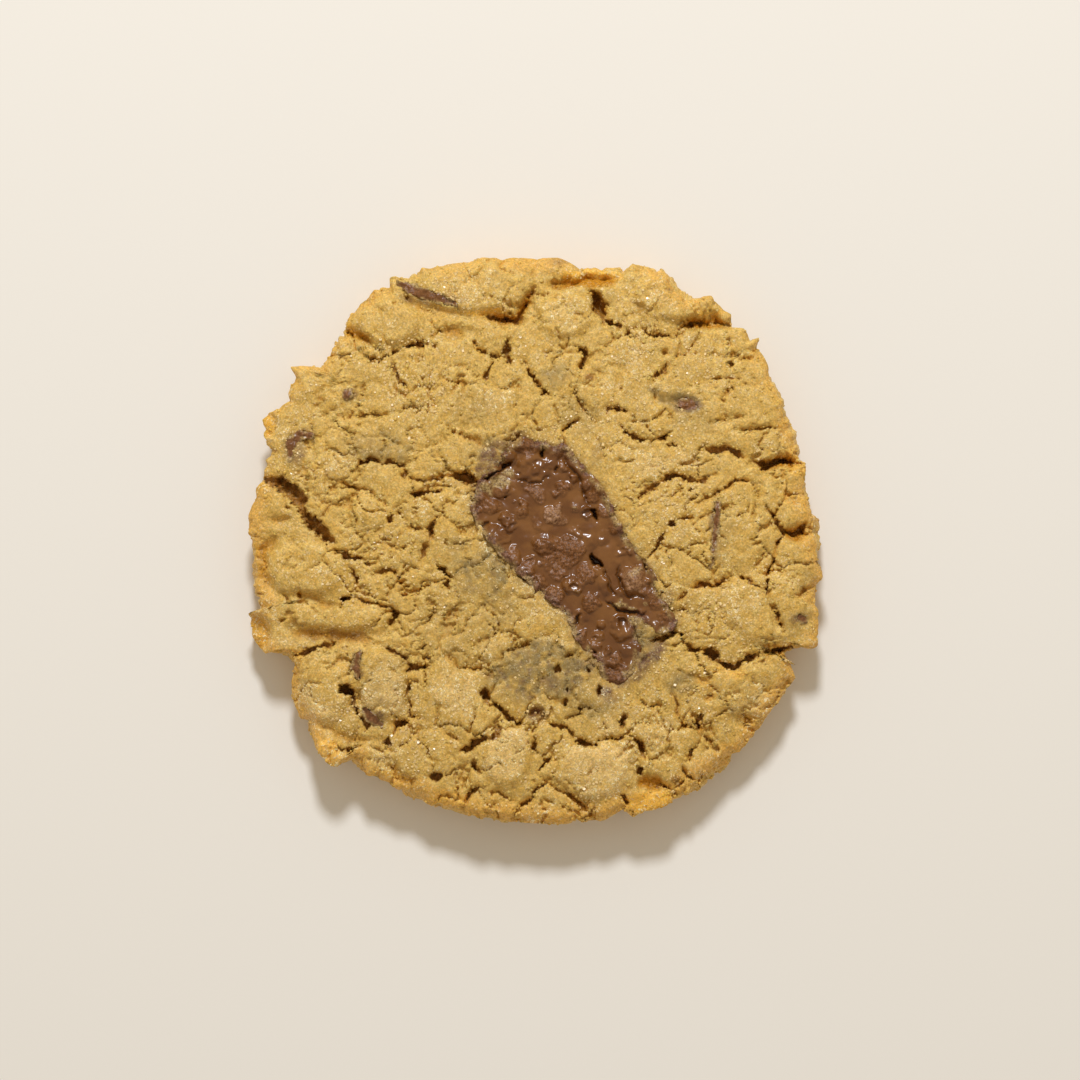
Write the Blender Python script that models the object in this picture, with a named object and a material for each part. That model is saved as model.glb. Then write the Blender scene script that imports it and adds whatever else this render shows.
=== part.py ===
"""Peanut butter cookie: cracked baked dough with a slab and shards of crisped-rice chocolate baked into it.

Metres, +Z up. The flat baked underside lies on z = 0 and the origin is under the middle of the cookie.
Sizes and outlines below are in millimetres, and are turned to metres where a mesh is made.
"""

import math

import bpy
from mathutils import Vector, geometry

MM = 0.001

# Driving sizes of the dough.
CENTRE_HEIGHT = 12.3      # top of the low crown
SHOULDER_HEIGHT = 8.5     # top of the crown where it meets the rim
CROWN_HALF_WIDTH = 46.2   # where the crown has come down to its shoulder, along X
CROWN_HALF_DEPTH = 45.3   # and along Y
CROWN_POWER = 2.6         # how flat the middle of the crown stays
PLATE_STEEPNESS = 2.8     # how quickly a plate rises from its edge
RIM_ROUND = 0.8           # how far the top edge stands in from the widest line
BASE_INSET = 2.0          # how far the flat underside stands in from the widest line
SURFACE_SPACING = 2.5     # facets of the open surface
CREASE_SPACING = 1.7      # facets along a crack
NARROWEST_CREASE = 0.9
SURFACE_RIPPLE = 0.16     # uneven rise of the dough between cracks
RIPPLE_X = 1.9            # lengths that the ripple changes over
RIPPLE_Y = 1.7
RIPPLE_BEND_X = 2.9
RIPPLE_BEND_Y = 2.3
MIDDLE = (-0.1, -0.15)    # middle of the outline's box, which is moved to the origin

# The flank below the top edge: each ring's share of the edge's height, and how far it stands in.
FLANK = [(0.62, 0.0), (0.26, 0.25), (0.07, 0.9), (0.0, BASE_INSET)]

# Driving sizes of the chocolate.
GAP = 0.3                 # clear space left between chocolate and dough
SLAB_THICKNESS = 6.0
SLAB_SINK = 0.35          # the melted surface lies this far under the crown
SLAB_BEVEL = 0.3          # how far the slab's top edge stands in
SLAB_EDGE_DROP = 0.5      # how far under its top edge the slab's side starts
SLAB_FOOT_RISE = 0.6      # the chamfer round the slab's underside
SLAB_FOOT_INSET = 0.4
SLAB_SPACING = 1.5
POCKET_SPACING = 9.0      # the cutters' flat tops need few facets
SHARD_THICKNESS = 2.6
SHARD_PROUD = 0.15
SHARD_BEVEL = 0.15
SHARD_EDGE_DROP = 0.4
SHARD_TIP = 0.35          # length of a shard's blunt point as a share of its width
CRISP_RISE = 0.62         # height of a puffed-rice bump as a share of its radius
CRISP_SPREAD = 1.25       # how far a bump reaches as a share of its radius
CRISP_SIDES = 5
CRISP_MARGIN = 0.6        # bumps' points nearer the slab's edge than this are left out
POCKET_ABOVE = 6.0        # how far the pockets' cutters reach above the crown

# How the facets are laid out.
WELD = 0.02               # points closer than this become one
GRID_STRAY = 0.2          # uneven shift of a grid point, as a share of the spacing
GRID_CLEARANCE = 0.6      # least distance from an edge or another point, as a share of the spacing
CREASE_CLEARANCE = 0.5    # a crack stops this far from the top edge
SHARPEST_MITRE = 0.6      # keeps an offset's sharp corners from running out too far

DOUGH_COLOUR = "D0A862"
CHOCOLATE_COLOUR = "77502F"

# The broken outer edge, from the right-hand side, counter-clockwise.
RIM = [
    (45.6, -0.5), (45.0, 3.4), (43.9, 7.8), (42.9, 12.4), (42.1, 15.6), (41.1, 18.2), (40.0, 22.6),
    (38.4, 25.5), (36.8, 28.2), (35.3, 31.0), (34.4, 32.3), (31.0, 34.0), (30.8, 36.1), (28.0, 38.2),
    (24.6, 39.3), (21.5, 41.8), (20.6, 44.0), (15.3, 44.4), (13.9, 43.3), (8.4, 44.1), (3.3, 45.0),
    (-3.6, 45.1), (-6.9, 45.2), (-13.4, 44.2), (-17.8, 43.4), (-23.2, 41.6), (-25.9, 39.6),
    (-29.6, 36.4), (-30.6, 32.6), (-33.2, 31.3), (-34.6, 28.0), (-39.4, 28.0), (-39.1, 22.5),
    (-43.3, 20.4), (-42.9, 16.8), (-41.9, 14.8), (-43.3, 10.3), (-45.3, 5.6), (-45.9, 1.4),
    (-44.8, -1.0), (-45.6, -5.2), (-44.4, -10.8), (-46.3, -11.3), (-44.4, -16.2), (-43.0, -18.0),
    (-39.2, -18.2), (-38.9, -23.4), (-37.2, -28.1), (-35.4, -32.0), (-33.4, -35.5), (-29.4, -35.1),
    (-26.9, -37.6), (-23.0, -39.5), (-17.6, -42.1), (-10.2, -43.9), (-3.7, -45.5), (2.0, -45.2),
    (6.4, -44.4), (10.0, -45.2), (14.0, -43.2), (20.9, -42.2), (25.6, -40.2), (30.8, -36.1),
    (33.3, -32.9), (36.6, -28.1), (41.4, -21.7), (39.5, -18.3), (44.4, -16.9), (44.4, -8.8),
    (46.1, -4.9),
]

# Broad plates that rose above the crown, and ledges that stayed below it: x, y, half width, half depth, rise.
PLATES = [
    (-36.5, -4.5, 7.3, 4.9, 0.9), (-32.0, -12.0, 9.0, 2.2, 0.5), (-24.2, -22.3, 4.6, 6.6, 1.1),
    (-33.4, -23.5, 4.6, 6.0, 0.8), (-23.5, 35.0, 6.0, 4.2, 1.1), (-10.0, 40.5, 9.5, 4.8, 1.0),
    (22.5, 39.0, 8.4, 4.6, 1.2), (36.5, -10.5, 7.4, 6.2, 1.0), (34.5, -24.0, 6.0, 5.6, 0.9),
    (8.5, -36.5, 6.8, 5.2, 0.8), (-4.5, -34.0, 4.4, 5.6, 0.8), (30.5, 1.0, 7.5, 6.5, 0.4),
    (4.5, 36.0, 5.0, 4.2, 0.9), (-13.6, 3.6, 2.2, 5.0, 0.3), (34.0, 20.0, 8.0, 6.0, 0.3),
    (-19.5, 24.5, 2.6, 3.6, 0.4), (0.5, 20.5, 5.0, 3.2, 0.3), (-33.0, 24.5, 5.0, 4.0, 0.4),
    (-26.0, 5.0, 4.0, 3.0, 0.3), (15.8, -35.2, 1.4, 3.6, -0.3), (-44.8, -14.6, 3.2, 3.8, -2.4),
    (-41.0, -27.0, 6.5, 9.0, -1.4), (42.0, -34.0, 16.0, 16.0, -1.0), (-32.6, -34.2, 3.4, 3.2, 0.8),
    (18.5, -41.8, 4.6, 2.0, -0.2), (10.2, 42.6, 5.0, 1.5, -0.8), (-33.2, 31.0, 2.2, 2.6, -1.2),
    (-42.6, 18.6, 2.0, 2.4, -1.2), (31.6, -36.4, 4.0, 3.2, -1.6), (-45.6, -5.5, 1.6, 4.6, -1.0),
    (-22.0, -41.0, 5.0, 1.6, -0.7),
]

# The cracks that split the crown into plates: width, depth, and the points each passes through.
CRACKS = [
    (1.8, 3.2, [(-42.0, 9.6), (-39.0, 8.4), (-37.0, 6.0), (-35.6, 3.6), (-33.4, 1.0), (-30.6, -1.9), (-27.4, -2.4)]),
    (1.0, 1.8, [(-39.5, -9.0), (-35.5, -8.5), (-31.0, -9.8), (-26.5, -9.8), (-22.8, -10.3), (-22.4, -13.0)]),
    (1.8, 2.6, [(-38.5, -14.0), (-34.8, -14.9), (-29.5, -14.8), (-25.0, -15.4), (-21.0, -18.5), (-18.0, -20.0)]),
    (1.2, 2.4, [(-30.4, -22.6), (-29.2, -24.8), (-27.6, -28.2), (-23.6, -30.4), (-20.0, -28.4), (-19.9, -22.6)]),
    (1.1, 1.6, [(-35.2, -28.8), (-31.8, -30.2), (-27.4, -31.3), (-24.0, -32.0)]),
    (1.2, 1.8, [(-23.8, -34.6), (-22.2, -37.0), (-18.8, -37.4), (-15.5, -37.2)]),
    (1.1, 2.0, [(-28.2, 13.2), (-25.2, 12.8), (-21.2, 12.3), (-20.4, 13.2)]),
    (0.9, 1.3, [(-31.8, 8.9), (-28.2, 8.4), (-24.4, 6.8), (-20.6, 3.2)]),
    (0.9, 1.5, [(-20.5, 7.4), (-17.5, 7.5), (-15.0, 8.5)]),
    (0.9, 1.4, [(-15.4, 4.0), (-17.1, 1.6), (-17.4, -1.6), (-21.4, -5.8), (-20.8, -8.5)]),
    (1.2, 2.6, [(-13.5, 10.7), (-10.8, 10.2), (-8.0, 9.6)]),
    (1.1, 1.6, [(-15.5, -3.7), (-14.1, -5.6), (-14.0, -7.5)]),
    (0.9, 1.2, [(-8.0, -10.5), (-6.1, -12.2), (-6.8, -14.8), (-10.0, -16.3)]),
    (1.0, 1.6, [(-30.5, 33.8), (-27.0, 31.6), (-24.9, 28.4), (-21.2, 30.5), (-17.2, 30.9)]),
    (1.0, 1.5, [(-16.6, 35.0), (-15.7, 32.9), (-10.6, 33.1), (-9.0, 30.2), (-4.8, 29.3), (-4.2, 32.0)]),
    (0.9, 1.2, [(-4.8, 29.3), (-7.6, 26.6), (-11.6, 26.0), (-13.5, 23.2)]),
    (0.9, 1.3, [(-22.4, 27.2), (-21.8, 25.4), (-26.8, 23.8), (-29.3, 20.2), (-23.4, 19.9)]),
    (1.4, 2.4, [(-8.7, 35.9), (-3.6, 34.8), (-1.6, 37.4), (-0.4, 40.2)]),
    (2.0, 3.2, [(2.8, 40.4), (8.6, 41.2), (9.9, 38.2), (10.2, 35.2), (13.7, 33.8)]),
    (1.2, 2.4, [(7.7, 31.1), (7.3, 29.4), (7.0, 27.3)]),
    (0.9, 1.2, [(6.6, 24.6), (6.6, 22.4), (9.4, 19.6), (12.8, 21.0)]),
    (1.0, 1.4, [(-2.1, 28.3), (0.0, 25.6), (2.2, 22.9)]),
    (1.2, 2.2, [(16.0, 33.8), (21.3, 32.6), (25.0, 34.9), (30.6, 34.2)]),
    (1.0, 1.3, [(18.4, 25.4), (21.0, 28.1), (23.6, 29.8), (26.2, 32.2)]),
    (0.9, 1.1, [(26.7, 25.5), (31.5, 25.9), (34.8, 24.6)]),
    (1.4, 2.4, [(26.7, 14.7), (31.0, 14.4), (36.0, 12.4), (40.2, 12.5)]),
    (0.9, 1.5, [(13.2, 18.2), (16.6, 16.2), (22.5, 15.5)]),
    (1.2, 2.0, [(16.0, 6.8), (19.6, 9.4), (25.6, 9.4), (28.4, 10.8), (33.0, 9.3), (35.4, 7.2)]),
    (1.1, 1.9, [(36.5, 5.5), (39.2, 1.1), (37.0, -4.0), (36.7, -8.8), (39.5, -13.8)]),
    (1.4, 2.0, [(39.3, 1.1), (42.6, 2.6)]),
    (0.9, 1.4, [(24.5, -7.0), (28.6, -6.8), (32.0, -5.2), (36.4, -7.4)]),
    (1.0, 1.4, [(21.4, 2.9), (19.3, 0.0), (17.9, -2.6)]),
    (1.5, 3.0, [(21.8, -13.9), (23.6, -16.4), (27.9, -18.0), (30.4, -19.9), (34.6, -18.1), (38.4, -17.2)]),
    (1.1, 1.8, [(28.2, -23.5), (26.4, -27.6), (25.6, -30.0), (27.8, -32.0)]),
    (0.9, 1.4, [(21.4, -23.6), (22.4, -27.2), (25.4, -29.8)]),
    (1.1, 1.8, [(15.6, -31.3), (17.0, -33.8), (16.7, -36.4)]),
    (1.0, 1.6, [(-14.0, -19.0), (-9.4, -20.0), (-8.1, -24.6), (-5.0, -27.0), (-1.6, -28.9)]),
    (1.2, 2.2, [(1.2, -28.8), (5.6, -30.2), (6.6, -32.0), (14.5, -30.9), (13.6, -28.0)]),
    (1.1, 2.0, [(-6.0, -29.2), (-7.2, -31.1), (-12.0, -33.2)]),
    (1.0, 1.6, [(-9.8, -34.8), (-8.6, -37.2), (-10.8, -40.2)]),
    (1.0, 1.6, [(-2.4, -42.4), (-0.2, -40.2), (2.4, -38.2), (5.6, -40.6), (9.0, -43.2)]),
    (1.0, 1.8, [(-0.4, -31.0), (-0.3, -33.2), (1.2, -35.6)]),
]

# The chocolate slab's edge, from its top corner, counter-clockwise.
SLAB_EDGE = [
    (4.4, 15.0), (1.9, 14.8), (-1.6, 16.2), (-3.4, 15.2), (-6.6, 11.2), (-8.8, 9.4), (-10.0, 5.2), (-8.0, 1.4),
    (-5.9, -1.2), (-1.0, -6.2), (3.4, -9.9), (5.7, -12.8), (6.8, -15.5), (9.9, -18.3), (10.5, -21.2),
    (11.4, -22.4), (12.8, -22.6), (14.8, -20.6), (16.1, -16.8), (15.6, -12.6), (16.8, -12.0), (19.6, -14.1),
    (21.9, -13.0), (19.9, -9.5), (18.4, -5.5), (15.8, -1.8), (14.3, 0.0), (12.5, 3.5), (10.3, 8.2), (6.3, 12.7),
]

# Puffed-rice bumps that stand in the slab's melted face: x, y, radius.
CRISPS = [
    (0.2, 7.6, 1.4), (3.9, 8.4, 1.4), (-2.3, 5.0, 1.3), (2.7, 4.1, 1.5), (-4.4, 3.0, 1.3), (-6.4, 0.9, 1.5),
    (-7.0, 5.4, 1.3), (-5.2, 7.8, 1.1), (-3.8, -1.7, 1.4), (-1.2, -3.8, 1.2), (1.5, -0.5, 1.6), (5.0, -1.5, 1.7),
    (2.1, -3.6, 1.2), (0.7, -6.3, 1.0), (2.8, -8.3, 1.1), (5.9, -6.9, 1.4), (8.2, -4.9, 1.3), (8.8, -9.6, 1.3),
    (6.0, 5.2, 1.1), (8.1, 4.2, 1.1), (-0.8, 11.8, 1.7), (2.4, 12.5, 1.1), (15.4, -5.6, 1.6), (13.4, -13.6, 1.5),
    (7.6, -15.0, 1.0), (12.4, -18.9, 1.2), (18.6, -9.6, 1.2), (19.9, -12.2, 1.1), (11.0, -7.0, 1.1), (11.0, 0.6, 1.1),
]

# Shards of chocolate that break the surface: width, and the points each runs through.
SHARDS = [
    (1.7, [(-21.8, 40.7), (-19.0, 39.8), (-15.0, 38.4), (-12.2, 37.5)]),
    (1.8, [(-30.3, 23.8), (-28.9, 22.9)]),
    (1.5, [(-36.0, 17.0), (-38.8, 16.0), (-39.1, 12.2)]),
    (2.0, [(22.8, 21.9), (25.3, 21.1)]),
    (0.9, [(28.8, 6.5), (28.4, 1.5), (27.7, -4.5)]),
    (1.4, [(-27.9, -17.4), (-28.5, -19.6), (-28.1, -21.8)]),
    (1.5, [(-27.0, -26.2), (-26.0, -28.0), (-24.2, -29.2)]),
    (1.5, [(41.4, -11.9), (42.8, -12.5)]),
]


def linear_colour(hex_value):
    """An sRGB hex colour as the linear RGBA that a shader takes."""
    shares = [int(hex_value[i:i + 2], 16) / 255 for i in (0, 2, 4)]
    return [s / 12.92 if s <= 0.04045 else ((s + 0.055) / 1.055) ** 2.4 for s in shares] + [1.0]


def make_material(name, colour, roughness):
    material = bpy.data.materials.new(name)
    material.use_nodes = True
    shader = material.node_tree.nodes["Principled BSDF"]
    shader.inputs["Base Color"].default_value = linear_colour(colour)
    shader.inputs["Roughness"].default_value = roughness
    shader.inputs["Metallic"].default_value = 0.0
    return material


def offset(outline, distance):
    """A closed counter-clockwise outline moved outwards by a distance, or inwards by a negative one."""
    moved = []
    for i, here in enumerate(outline):
        before = Vector(outline[i - 1])
        after = Vector(outline[(i + 1) % len(outline)])
        into = (Vector(here) - before).normalized()
        away = (after - Vector(here)).normalized()
        normal = Vector((into.y + away.y, -into.x - away.x)).normalized()
        mitre = max(SHARPEST_MITRE, normal.dot(Vector((into.y, -into.x))))
        moved.append(Vector(here) + normal * distance / mitre)
    return moved


def along(points, spacing):
    """The points of a line with more put in, so that no two are further apart than the spacing."""
    filled = [Vector(points[0])]
    for start, end in zip(points, points[1:]):
        steps = max(1, math.ceil((Vector(end) - Vector(start)).length / spacing))
        filled += [Vector(start).lerp(Vector(end), step / steps) for step in range(1, steps + 1)]
    return filled


def beside(points, distance):
    """A line's points moved sideways, with both ends left where they are."""
    moved = [points[0]]
    for before, here, after in zip(points, points[1:], points[2:]):
        run = (after - before).normalized()
        moved.append(here + Vector((-run.y, run.x)) * distance)
    return moved + [points[-1]]


def distance_to_line(point, points):
    nearest = math.inf
    for start, end in zip(points, points[1:]):
        foot, share = geometry.intersect_point_line(point, start, end)
        foot = start.lerp(end, min(max(share, 0.0), 1.0))
        nearest = min(nearest, (point - foot).length)
    return nearest


def smooth(share):
    share = min(max(share, 0.0), 1.0)
    return share * share * (3 - 2 * share)


def crown_height(x, y):
    """Height of the baked surface before it cracked: a low crown with raised plates and sunken ledges."""
    out = math.hypot(x / CROWN_HALF_WIDTH, y / CROWN_HALF_DEPTH)
    height = SHOULDER_HEIGHT + (CENTRE_HEIGHT - SHOULDER_HEIGHT) * (1 - min(out, 1.0) ** CROWN_POWER)
    for plate_x, plate_y, half_width, half_depth, rise in PLATES:
        share = math.hypot((x - plate_x) / half_width, (y - plate_y) / half_depth)
        height += rise * smooth((1 - share) * PLATE_STEEPNESS)
    return height


CRACK_LINES = [(max(width, NARROWEST_CREASE), depth, along(points, CREASE_SPACING)) for width, depth, points in CRACKS]


def dough_height(x, y):
    """The crown with its cracks cut in as grooves, and a slight ripple between them."""
    point = Vector((x, y))
    drop = 0.0
    for width, depth, points in CRACK_LINES:
        share = 1 - distance_to_line(point, points) / (width / 2)
        drop = max(drop, depth * min(max(share, 0.0), 1.0))
    along_x = math.sin(x / RIPPLE_X + math.sin(y / RIPPLE_BEND_Y))
    along_y = math.cos(y / RIPPLE_Y - math.sin(x / RIPPLE_BEND_X))
    return crown_height(x, y) + SURFACE_RIPPLE * along_x * along_y - drop


def slab_height(x, y):
    """The slab's melted face, just under the crown, with its puffed-rice bumps."""
    height = crown_height(x, y) - SLAB_SINK
    bump = 0.0
    for crisp_x, crisp_y, radius in CRISPS:
        share = math.hypot(x - crisp_x, y - crisp_y) / (CRISP_SPREAD * radius)
        bump = max(bump, CRISP_RISE * radius * math.sqrt(max(0.0, 1 - share * share)))
    return height + bump


def stray(point):
    """A fixed, uneven sideways shift for a grid point, up to one each way."""
    return Vector((math.sin(127.1 * point.x + 311.7 * point.y), math.sin(269.5 * point.x + 183.3 * point.y)))


def inner_grid(outline, spacing, kept_clear):
    """Staggered points inside an outline, clear of its edge and of the points given."""
    xs = [point[0] for point in outline]
    ys = [point[1] for point in outline]
    edge = [Vector(point) for point in outline] + [Vector(outline[0])]
    row_height = spacing * math.sqrt(3) / 2
    points = []
    for row in range(int((max(ys) - min(ys)) / row_height) + 1):
        y = min(ys) + row * row_height
        for column in range(int((max(xs) - min(xs)) / spacing) + 2):
            point = Vector((min(xs) + (column - 0.5 * (row % 2)) * spacing, y))
            point += stray(point) * GRID_STRAY * spacing
            if not inside(point, outline) or distance_to_line(point, edge) < GRID_CLEARANCE * spacing:
                continue
            if all((point - other).length > GRID_CLEARANCE * spacing for other in kept_clear):
                points.append(point)
    return points


def inside(point, outline):
    crossings = 0
    for i, here in enumerate(outline):
        before = outline[i - 1]
        if (here[1] > point.y) != (before[1] > point.y):
            at_x = here[0] + (point.y - here[1]) * (before[0] - here[0]) / (before[1] - here[1])
            crossings += at_x > point.x
    return crossings % 2 == 1


def from_lowest(corners):
    """A face's corners in the same turn, starting at the lowest, so that faces can be put in order."""
    start = corners.index(min(corners))
    return corners[start:] + corners[:start]


def relief_solid(name, top_edge, height_at, rings, spacing, creases=(), peaks=()):
    """A closed solid with a facetted relief on top.

    top_edge bounds the relief, whose height at a place is height_at(x, y). Each ring below it is an
    outline and a function that turns the top edge's height into the ring's own. The last ring is the
    flat underside. creases are lines that the facets keep, and peaks are single points.
    """
    edge = [Vector(point) for point in top_edge]
    points = list(edge)
    lines = []
    closed_edge = edge + [edge[0]]
    for crease in creases:
        last = None
        for point in crease:
            if not inside(point, top_edge) or distance_to_line(point, closed_edge) < CREASE_CLEARANCE:
                last = None
                continue
            points.append(point)
            if last is not None:
                lines.append((last, len(points) - 1))
            last = len(points) - 1
    points += [Vector(point) for point in peaks]
    points += inner_grid(top_edge, spacing, points)
    boundary = list(range(len(edge)))
    flat, _, triangles, origins, _, _ = geometry.delaunay_2d_cdt(points, lines, [boundary], 1, WELD)
    order = sorted(range(len(flat)), key=lambda index: (flat[index].x, flat[index].y))
    rank = {index: place for place, index in enumerate(order)}
    vertices = [(flat[i].x, flat[i].y, height_at(flat[i].x, flat[i].y)) for i in order]
    faces = sorted(from_lowest([rank[i] for i in triangle]) for triangle in triangles)
    place_of = {source: rank[index] for index, sources in enumerate(origins) for source in sources}
    above = [place_of[i] for i in boundary]
    edge_heights = [vertices[i][2] for i in above]
    for outline, height_of in rings:
        start = len(vertices)
        vertices += [(p[0], p[1], height_of(z)) for p, z in zip(outline, edge_heights)]
        below = [start + i for i in boundary]
        for i in boundary:
            following = (i + 1) % len(boundary)
            faces.append([above[i], below[i], below[following], above[following]])
        above = below
    faces.append(list(reversed(above)))
    mesh = bpy.data.meshes.new(name)
    placed = [((x - MIDDLE[0]) * MM, (y - MIDDLE[1]) * MM, z * MM) for x, y, z in vertices]
    mesh.from_pydata(placed, [], faces)
    mesh.validate()
    piece = bpy.data.objects.new(name, mesh)
    bpy.context.collection.objects.link(piece)
    return piece


def cut_pocket(dough, name, outline, floor_height):
    """Cuts a straight pocket, open at the top, that clears a piece of chocolate by the gap."""
    wall = offset(outline, GAP)
    rings = [(wall, lambda z: floor_height - GAP)]
    cutter = relief_solid(name, wall, lambda x, y: CENTRE_HEIGHT + POCKET_ABOVE, rings, POCKET_SPACING)
    cutter.hide_render = True
    cutter.display_type = "WIRE"
    modifier = dough.modifiers.new(name, "BOOLEAN")
    modifier.operation = "DIFFERENCE"
    modifier.solver = "EXACT"
    modifier.object = cutter


def shard_outline(width, points):
    """A shard seen from above: a bent bar of even width with a blunt point at each end."""
    line = [Vector(point) for point in points]
    first_run = (line[1] - line[0]).normalized()
    last_run = (line[-1] - line[-2]).normalized()
    start = line[0] - first_run * width * SHARD_TIP
    end = line[-1] + last_run * width * SHARD_TIP
    sides = []
    for side in (1, -1):
        across = [line[0] + Vector((-first_run.y, first_run.x)) * side * width / 2]
        across += beside(line, side * width / 2)[1:-1]
        across.append(line[-1] + Vector((-last_run.y, last_run.x)) * side * width / 2)
        sides.append(across)
    return [start] + sides[1] + [end] + list(reversed(sides[0]))


def make_dough():
    top_edge = offset(RIM, -RIM_ROUND)
    rings = [(offset(RIM, -inset), lambda z, share=share: share * z) for share, inset in FLANK]
    creases = []
    for width, _, line in CRACK_LINES:
        creases += [line, beside(line, width / 2), beside(line, -width / 2)]
    dough = relief_solid("dough", top_edge, dough_height, rings, SURFACE_SPACING, creases)
    dough.data.materials.append(make_material("baked dough", DOUGH_COLOUR, 0.8))
    return dough


def make_slab(dough, chocolate):
    floor_height = CENTRE_HEIGHT - SLAB_SINK - SLAB_THICKNESS
    peaks = []
    for x, y, radius in CRISPS:
        peaks.append((x, y))
        for step in range(CRISP_SIDES):
            angle = math.tau * step / CRISP_SIDES
            peaks.append((x + radius * math.cos(angle), y + radius * math.sin(angle)))
    keep_in = offset(SLAB_EDGE, -CRISP_MARGIN)
    peaks = [point for point in peaks if inside(Vector(point), keep_in)]
    rings = [
        (SLAB_EDGE, lambda z: z - SLAB_EDGE_DROP),
        (SLAB_EDGE, lambda z: floor_height + SLAB_FOOT_RISE),
        (offset(SLAB_EDGE, -SLAB_FOOT_INSET), lambda z: floor_height),
    ]
    top_edge = offset(SLAB_EDGE, -SLAB_BEVEL)
    slab = relief_solid("chocolate_slab", top_edge, slab_height, rings, SLAB_SPACING, peaks=peaks)
    slab.data.materials.append(chocolate)
    cut_pocket(dough, "slab_pocket", SLAB_EDGE, floor_height)


def make_shards(dough, chocolate):
    for number, (width, points) in enumerate(SHARDS, start=1):
        outline = shard_outline(width, points)
        middle = Vector(points[len(points) // 2])
        top = crown_height(middle.x, middle.y) + SHARD_PROUD
        floor_height = top - SHARD_THICKNESS
        rings = [
            (outline, lambda z: z - SHARD_EDGE_DROP),
            (outline, lambda z, low=floor_height: low),
        ]
        shard = relief_solid(
            f"chocolate_shard_{number}", offset(outline, -SHARD_BEVEL), lambda x, y: crown_height(x, y) + SHARD_PROUD,
            rings, SLAB_SPACING,
        )
        shard.data.materials.append(chocolate)
        cut_pocket(dough, f"shard_pocket_{number}", outline, floor_height)


for old in list(bpy.data.objects):
    bpy.data.objects.remove(old, do_unlink=True)

cookie_dough = make_dough()
milk_chocolate = make_material("milk chocolate", CHOCOLATE_COLOUR, 0.4)
make_slab(cookie_dough, milk_chocolate)
make_shards(cookie_dough, milk_chocolate)
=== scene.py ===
import math

import bpy
import numpy as np
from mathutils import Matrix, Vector, geometry


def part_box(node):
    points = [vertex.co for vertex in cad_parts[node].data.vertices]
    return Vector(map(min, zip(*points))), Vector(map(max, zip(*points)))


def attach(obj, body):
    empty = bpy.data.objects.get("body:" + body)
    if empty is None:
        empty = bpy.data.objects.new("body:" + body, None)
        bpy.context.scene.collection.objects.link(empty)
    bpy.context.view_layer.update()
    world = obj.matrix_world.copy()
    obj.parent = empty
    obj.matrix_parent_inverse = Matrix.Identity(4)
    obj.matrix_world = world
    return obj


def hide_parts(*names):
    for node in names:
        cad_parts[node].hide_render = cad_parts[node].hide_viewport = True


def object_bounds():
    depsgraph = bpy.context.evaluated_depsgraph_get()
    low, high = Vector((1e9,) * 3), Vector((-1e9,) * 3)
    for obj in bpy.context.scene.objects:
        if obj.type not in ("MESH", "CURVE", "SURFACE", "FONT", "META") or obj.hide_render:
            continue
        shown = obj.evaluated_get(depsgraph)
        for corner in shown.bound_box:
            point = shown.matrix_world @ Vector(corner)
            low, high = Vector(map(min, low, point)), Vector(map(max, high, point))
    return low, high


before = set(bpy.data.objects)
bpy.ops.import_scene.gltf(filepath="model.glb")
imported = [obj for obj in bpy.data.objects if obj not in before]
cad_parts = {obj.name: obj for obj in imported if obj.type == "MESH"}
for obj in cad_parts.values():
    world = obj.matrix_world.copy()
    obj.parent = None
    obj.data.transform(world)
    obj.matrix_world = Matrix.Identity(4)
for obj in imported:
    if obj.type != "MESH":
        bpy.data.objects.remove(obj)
cad_low, cad_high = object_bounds()


# ---- Dough -------------------------------------------------------------------------------------------
# The cookie itself: peanut-butter dough spooned out and baked until its skin set and split into plates.
# One piece, with a flat browned underside, a rough broken flank and ragged cracks of every size on top.
# Lengths in this file are in millimetres, and are turned to metres where a mesh or a pattern is made.

MM = 0.001
MIDDLE = (-0.1, -0.15)        # middle of the outlines' box, which goes to the origin
HALF_WIDTH = 46.2             # of the round crown
HALF_DEPTH = 45.3
CENTRE_HEIGHT = 12.2          # top of the low crown
SHOULDER_HEIGHT = 8.5         # top of the crown where it meets the rim
CROWN_POWER = 2.6             # how flat the middle of the crown stays
PLATE_STEEPNESS = 2.8         # how quickly a plate rises in from its border
TOP_CLEARANCE = 0.02          # how far below the cookie's highest point the skin levels off
LEVELLING = 0.4               # and over what height it does
RIM_ROUND = 0.8               # how far the top edge stands in from the widest line
RIM_CRUMBS = 0.4              # how far the edge's crumbs reach past the outline below
BASE_INSET = 2.0              # how far the flat underside stands in
RINGS = 176                   # rings of facets from the middle to the top edge, about 0.25 mm apart
FLANK_ROWS = 26
DOUGH_FACETS = 190000         # what the finished dough is thinned to, keeping the sharp edges
WALL = 0.26                   # across a crack's steep wall
BANK = 0.42                   # from a crack's middle to its bank, as a share of its width
CRUMB = 0.55                  # the fine crumbs that a torn edge follows
CLOD = 1.05                   # and the coarse ones
FLAKE = 5.2                   # the skin's small flakes, whose borders are hairline cracks
HAIR_WIDTH = 0.24
HAIR_DEPTH = 0.85
CRAZING = 2.6                 # the smaller flakes between them, where the skin crazed
CRAZING_WIDTH = 0.22
CRAZING_DEPTH = 0.5
SWAY = 0.36                   # how far cracks and flakes sway from their lines, and over what length
SWAY_LENGTH = 2.4
PORES = 1.7                   # from one pore to the next
LUMPS = 1.7                   # the skin's low lumps
SAND_GRAIN = 0.62             # and its sandy grain
UNEVENNESS = 0.22             # how far the whole skin rises and falls
BANK_SAG = 0.32               # how far the skin sags beside a crack
RIM_DROOP = 1.2               # how far it droops towards the rim, and over what width
RIM_DROOP_WIDTH = 2.4
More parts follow.
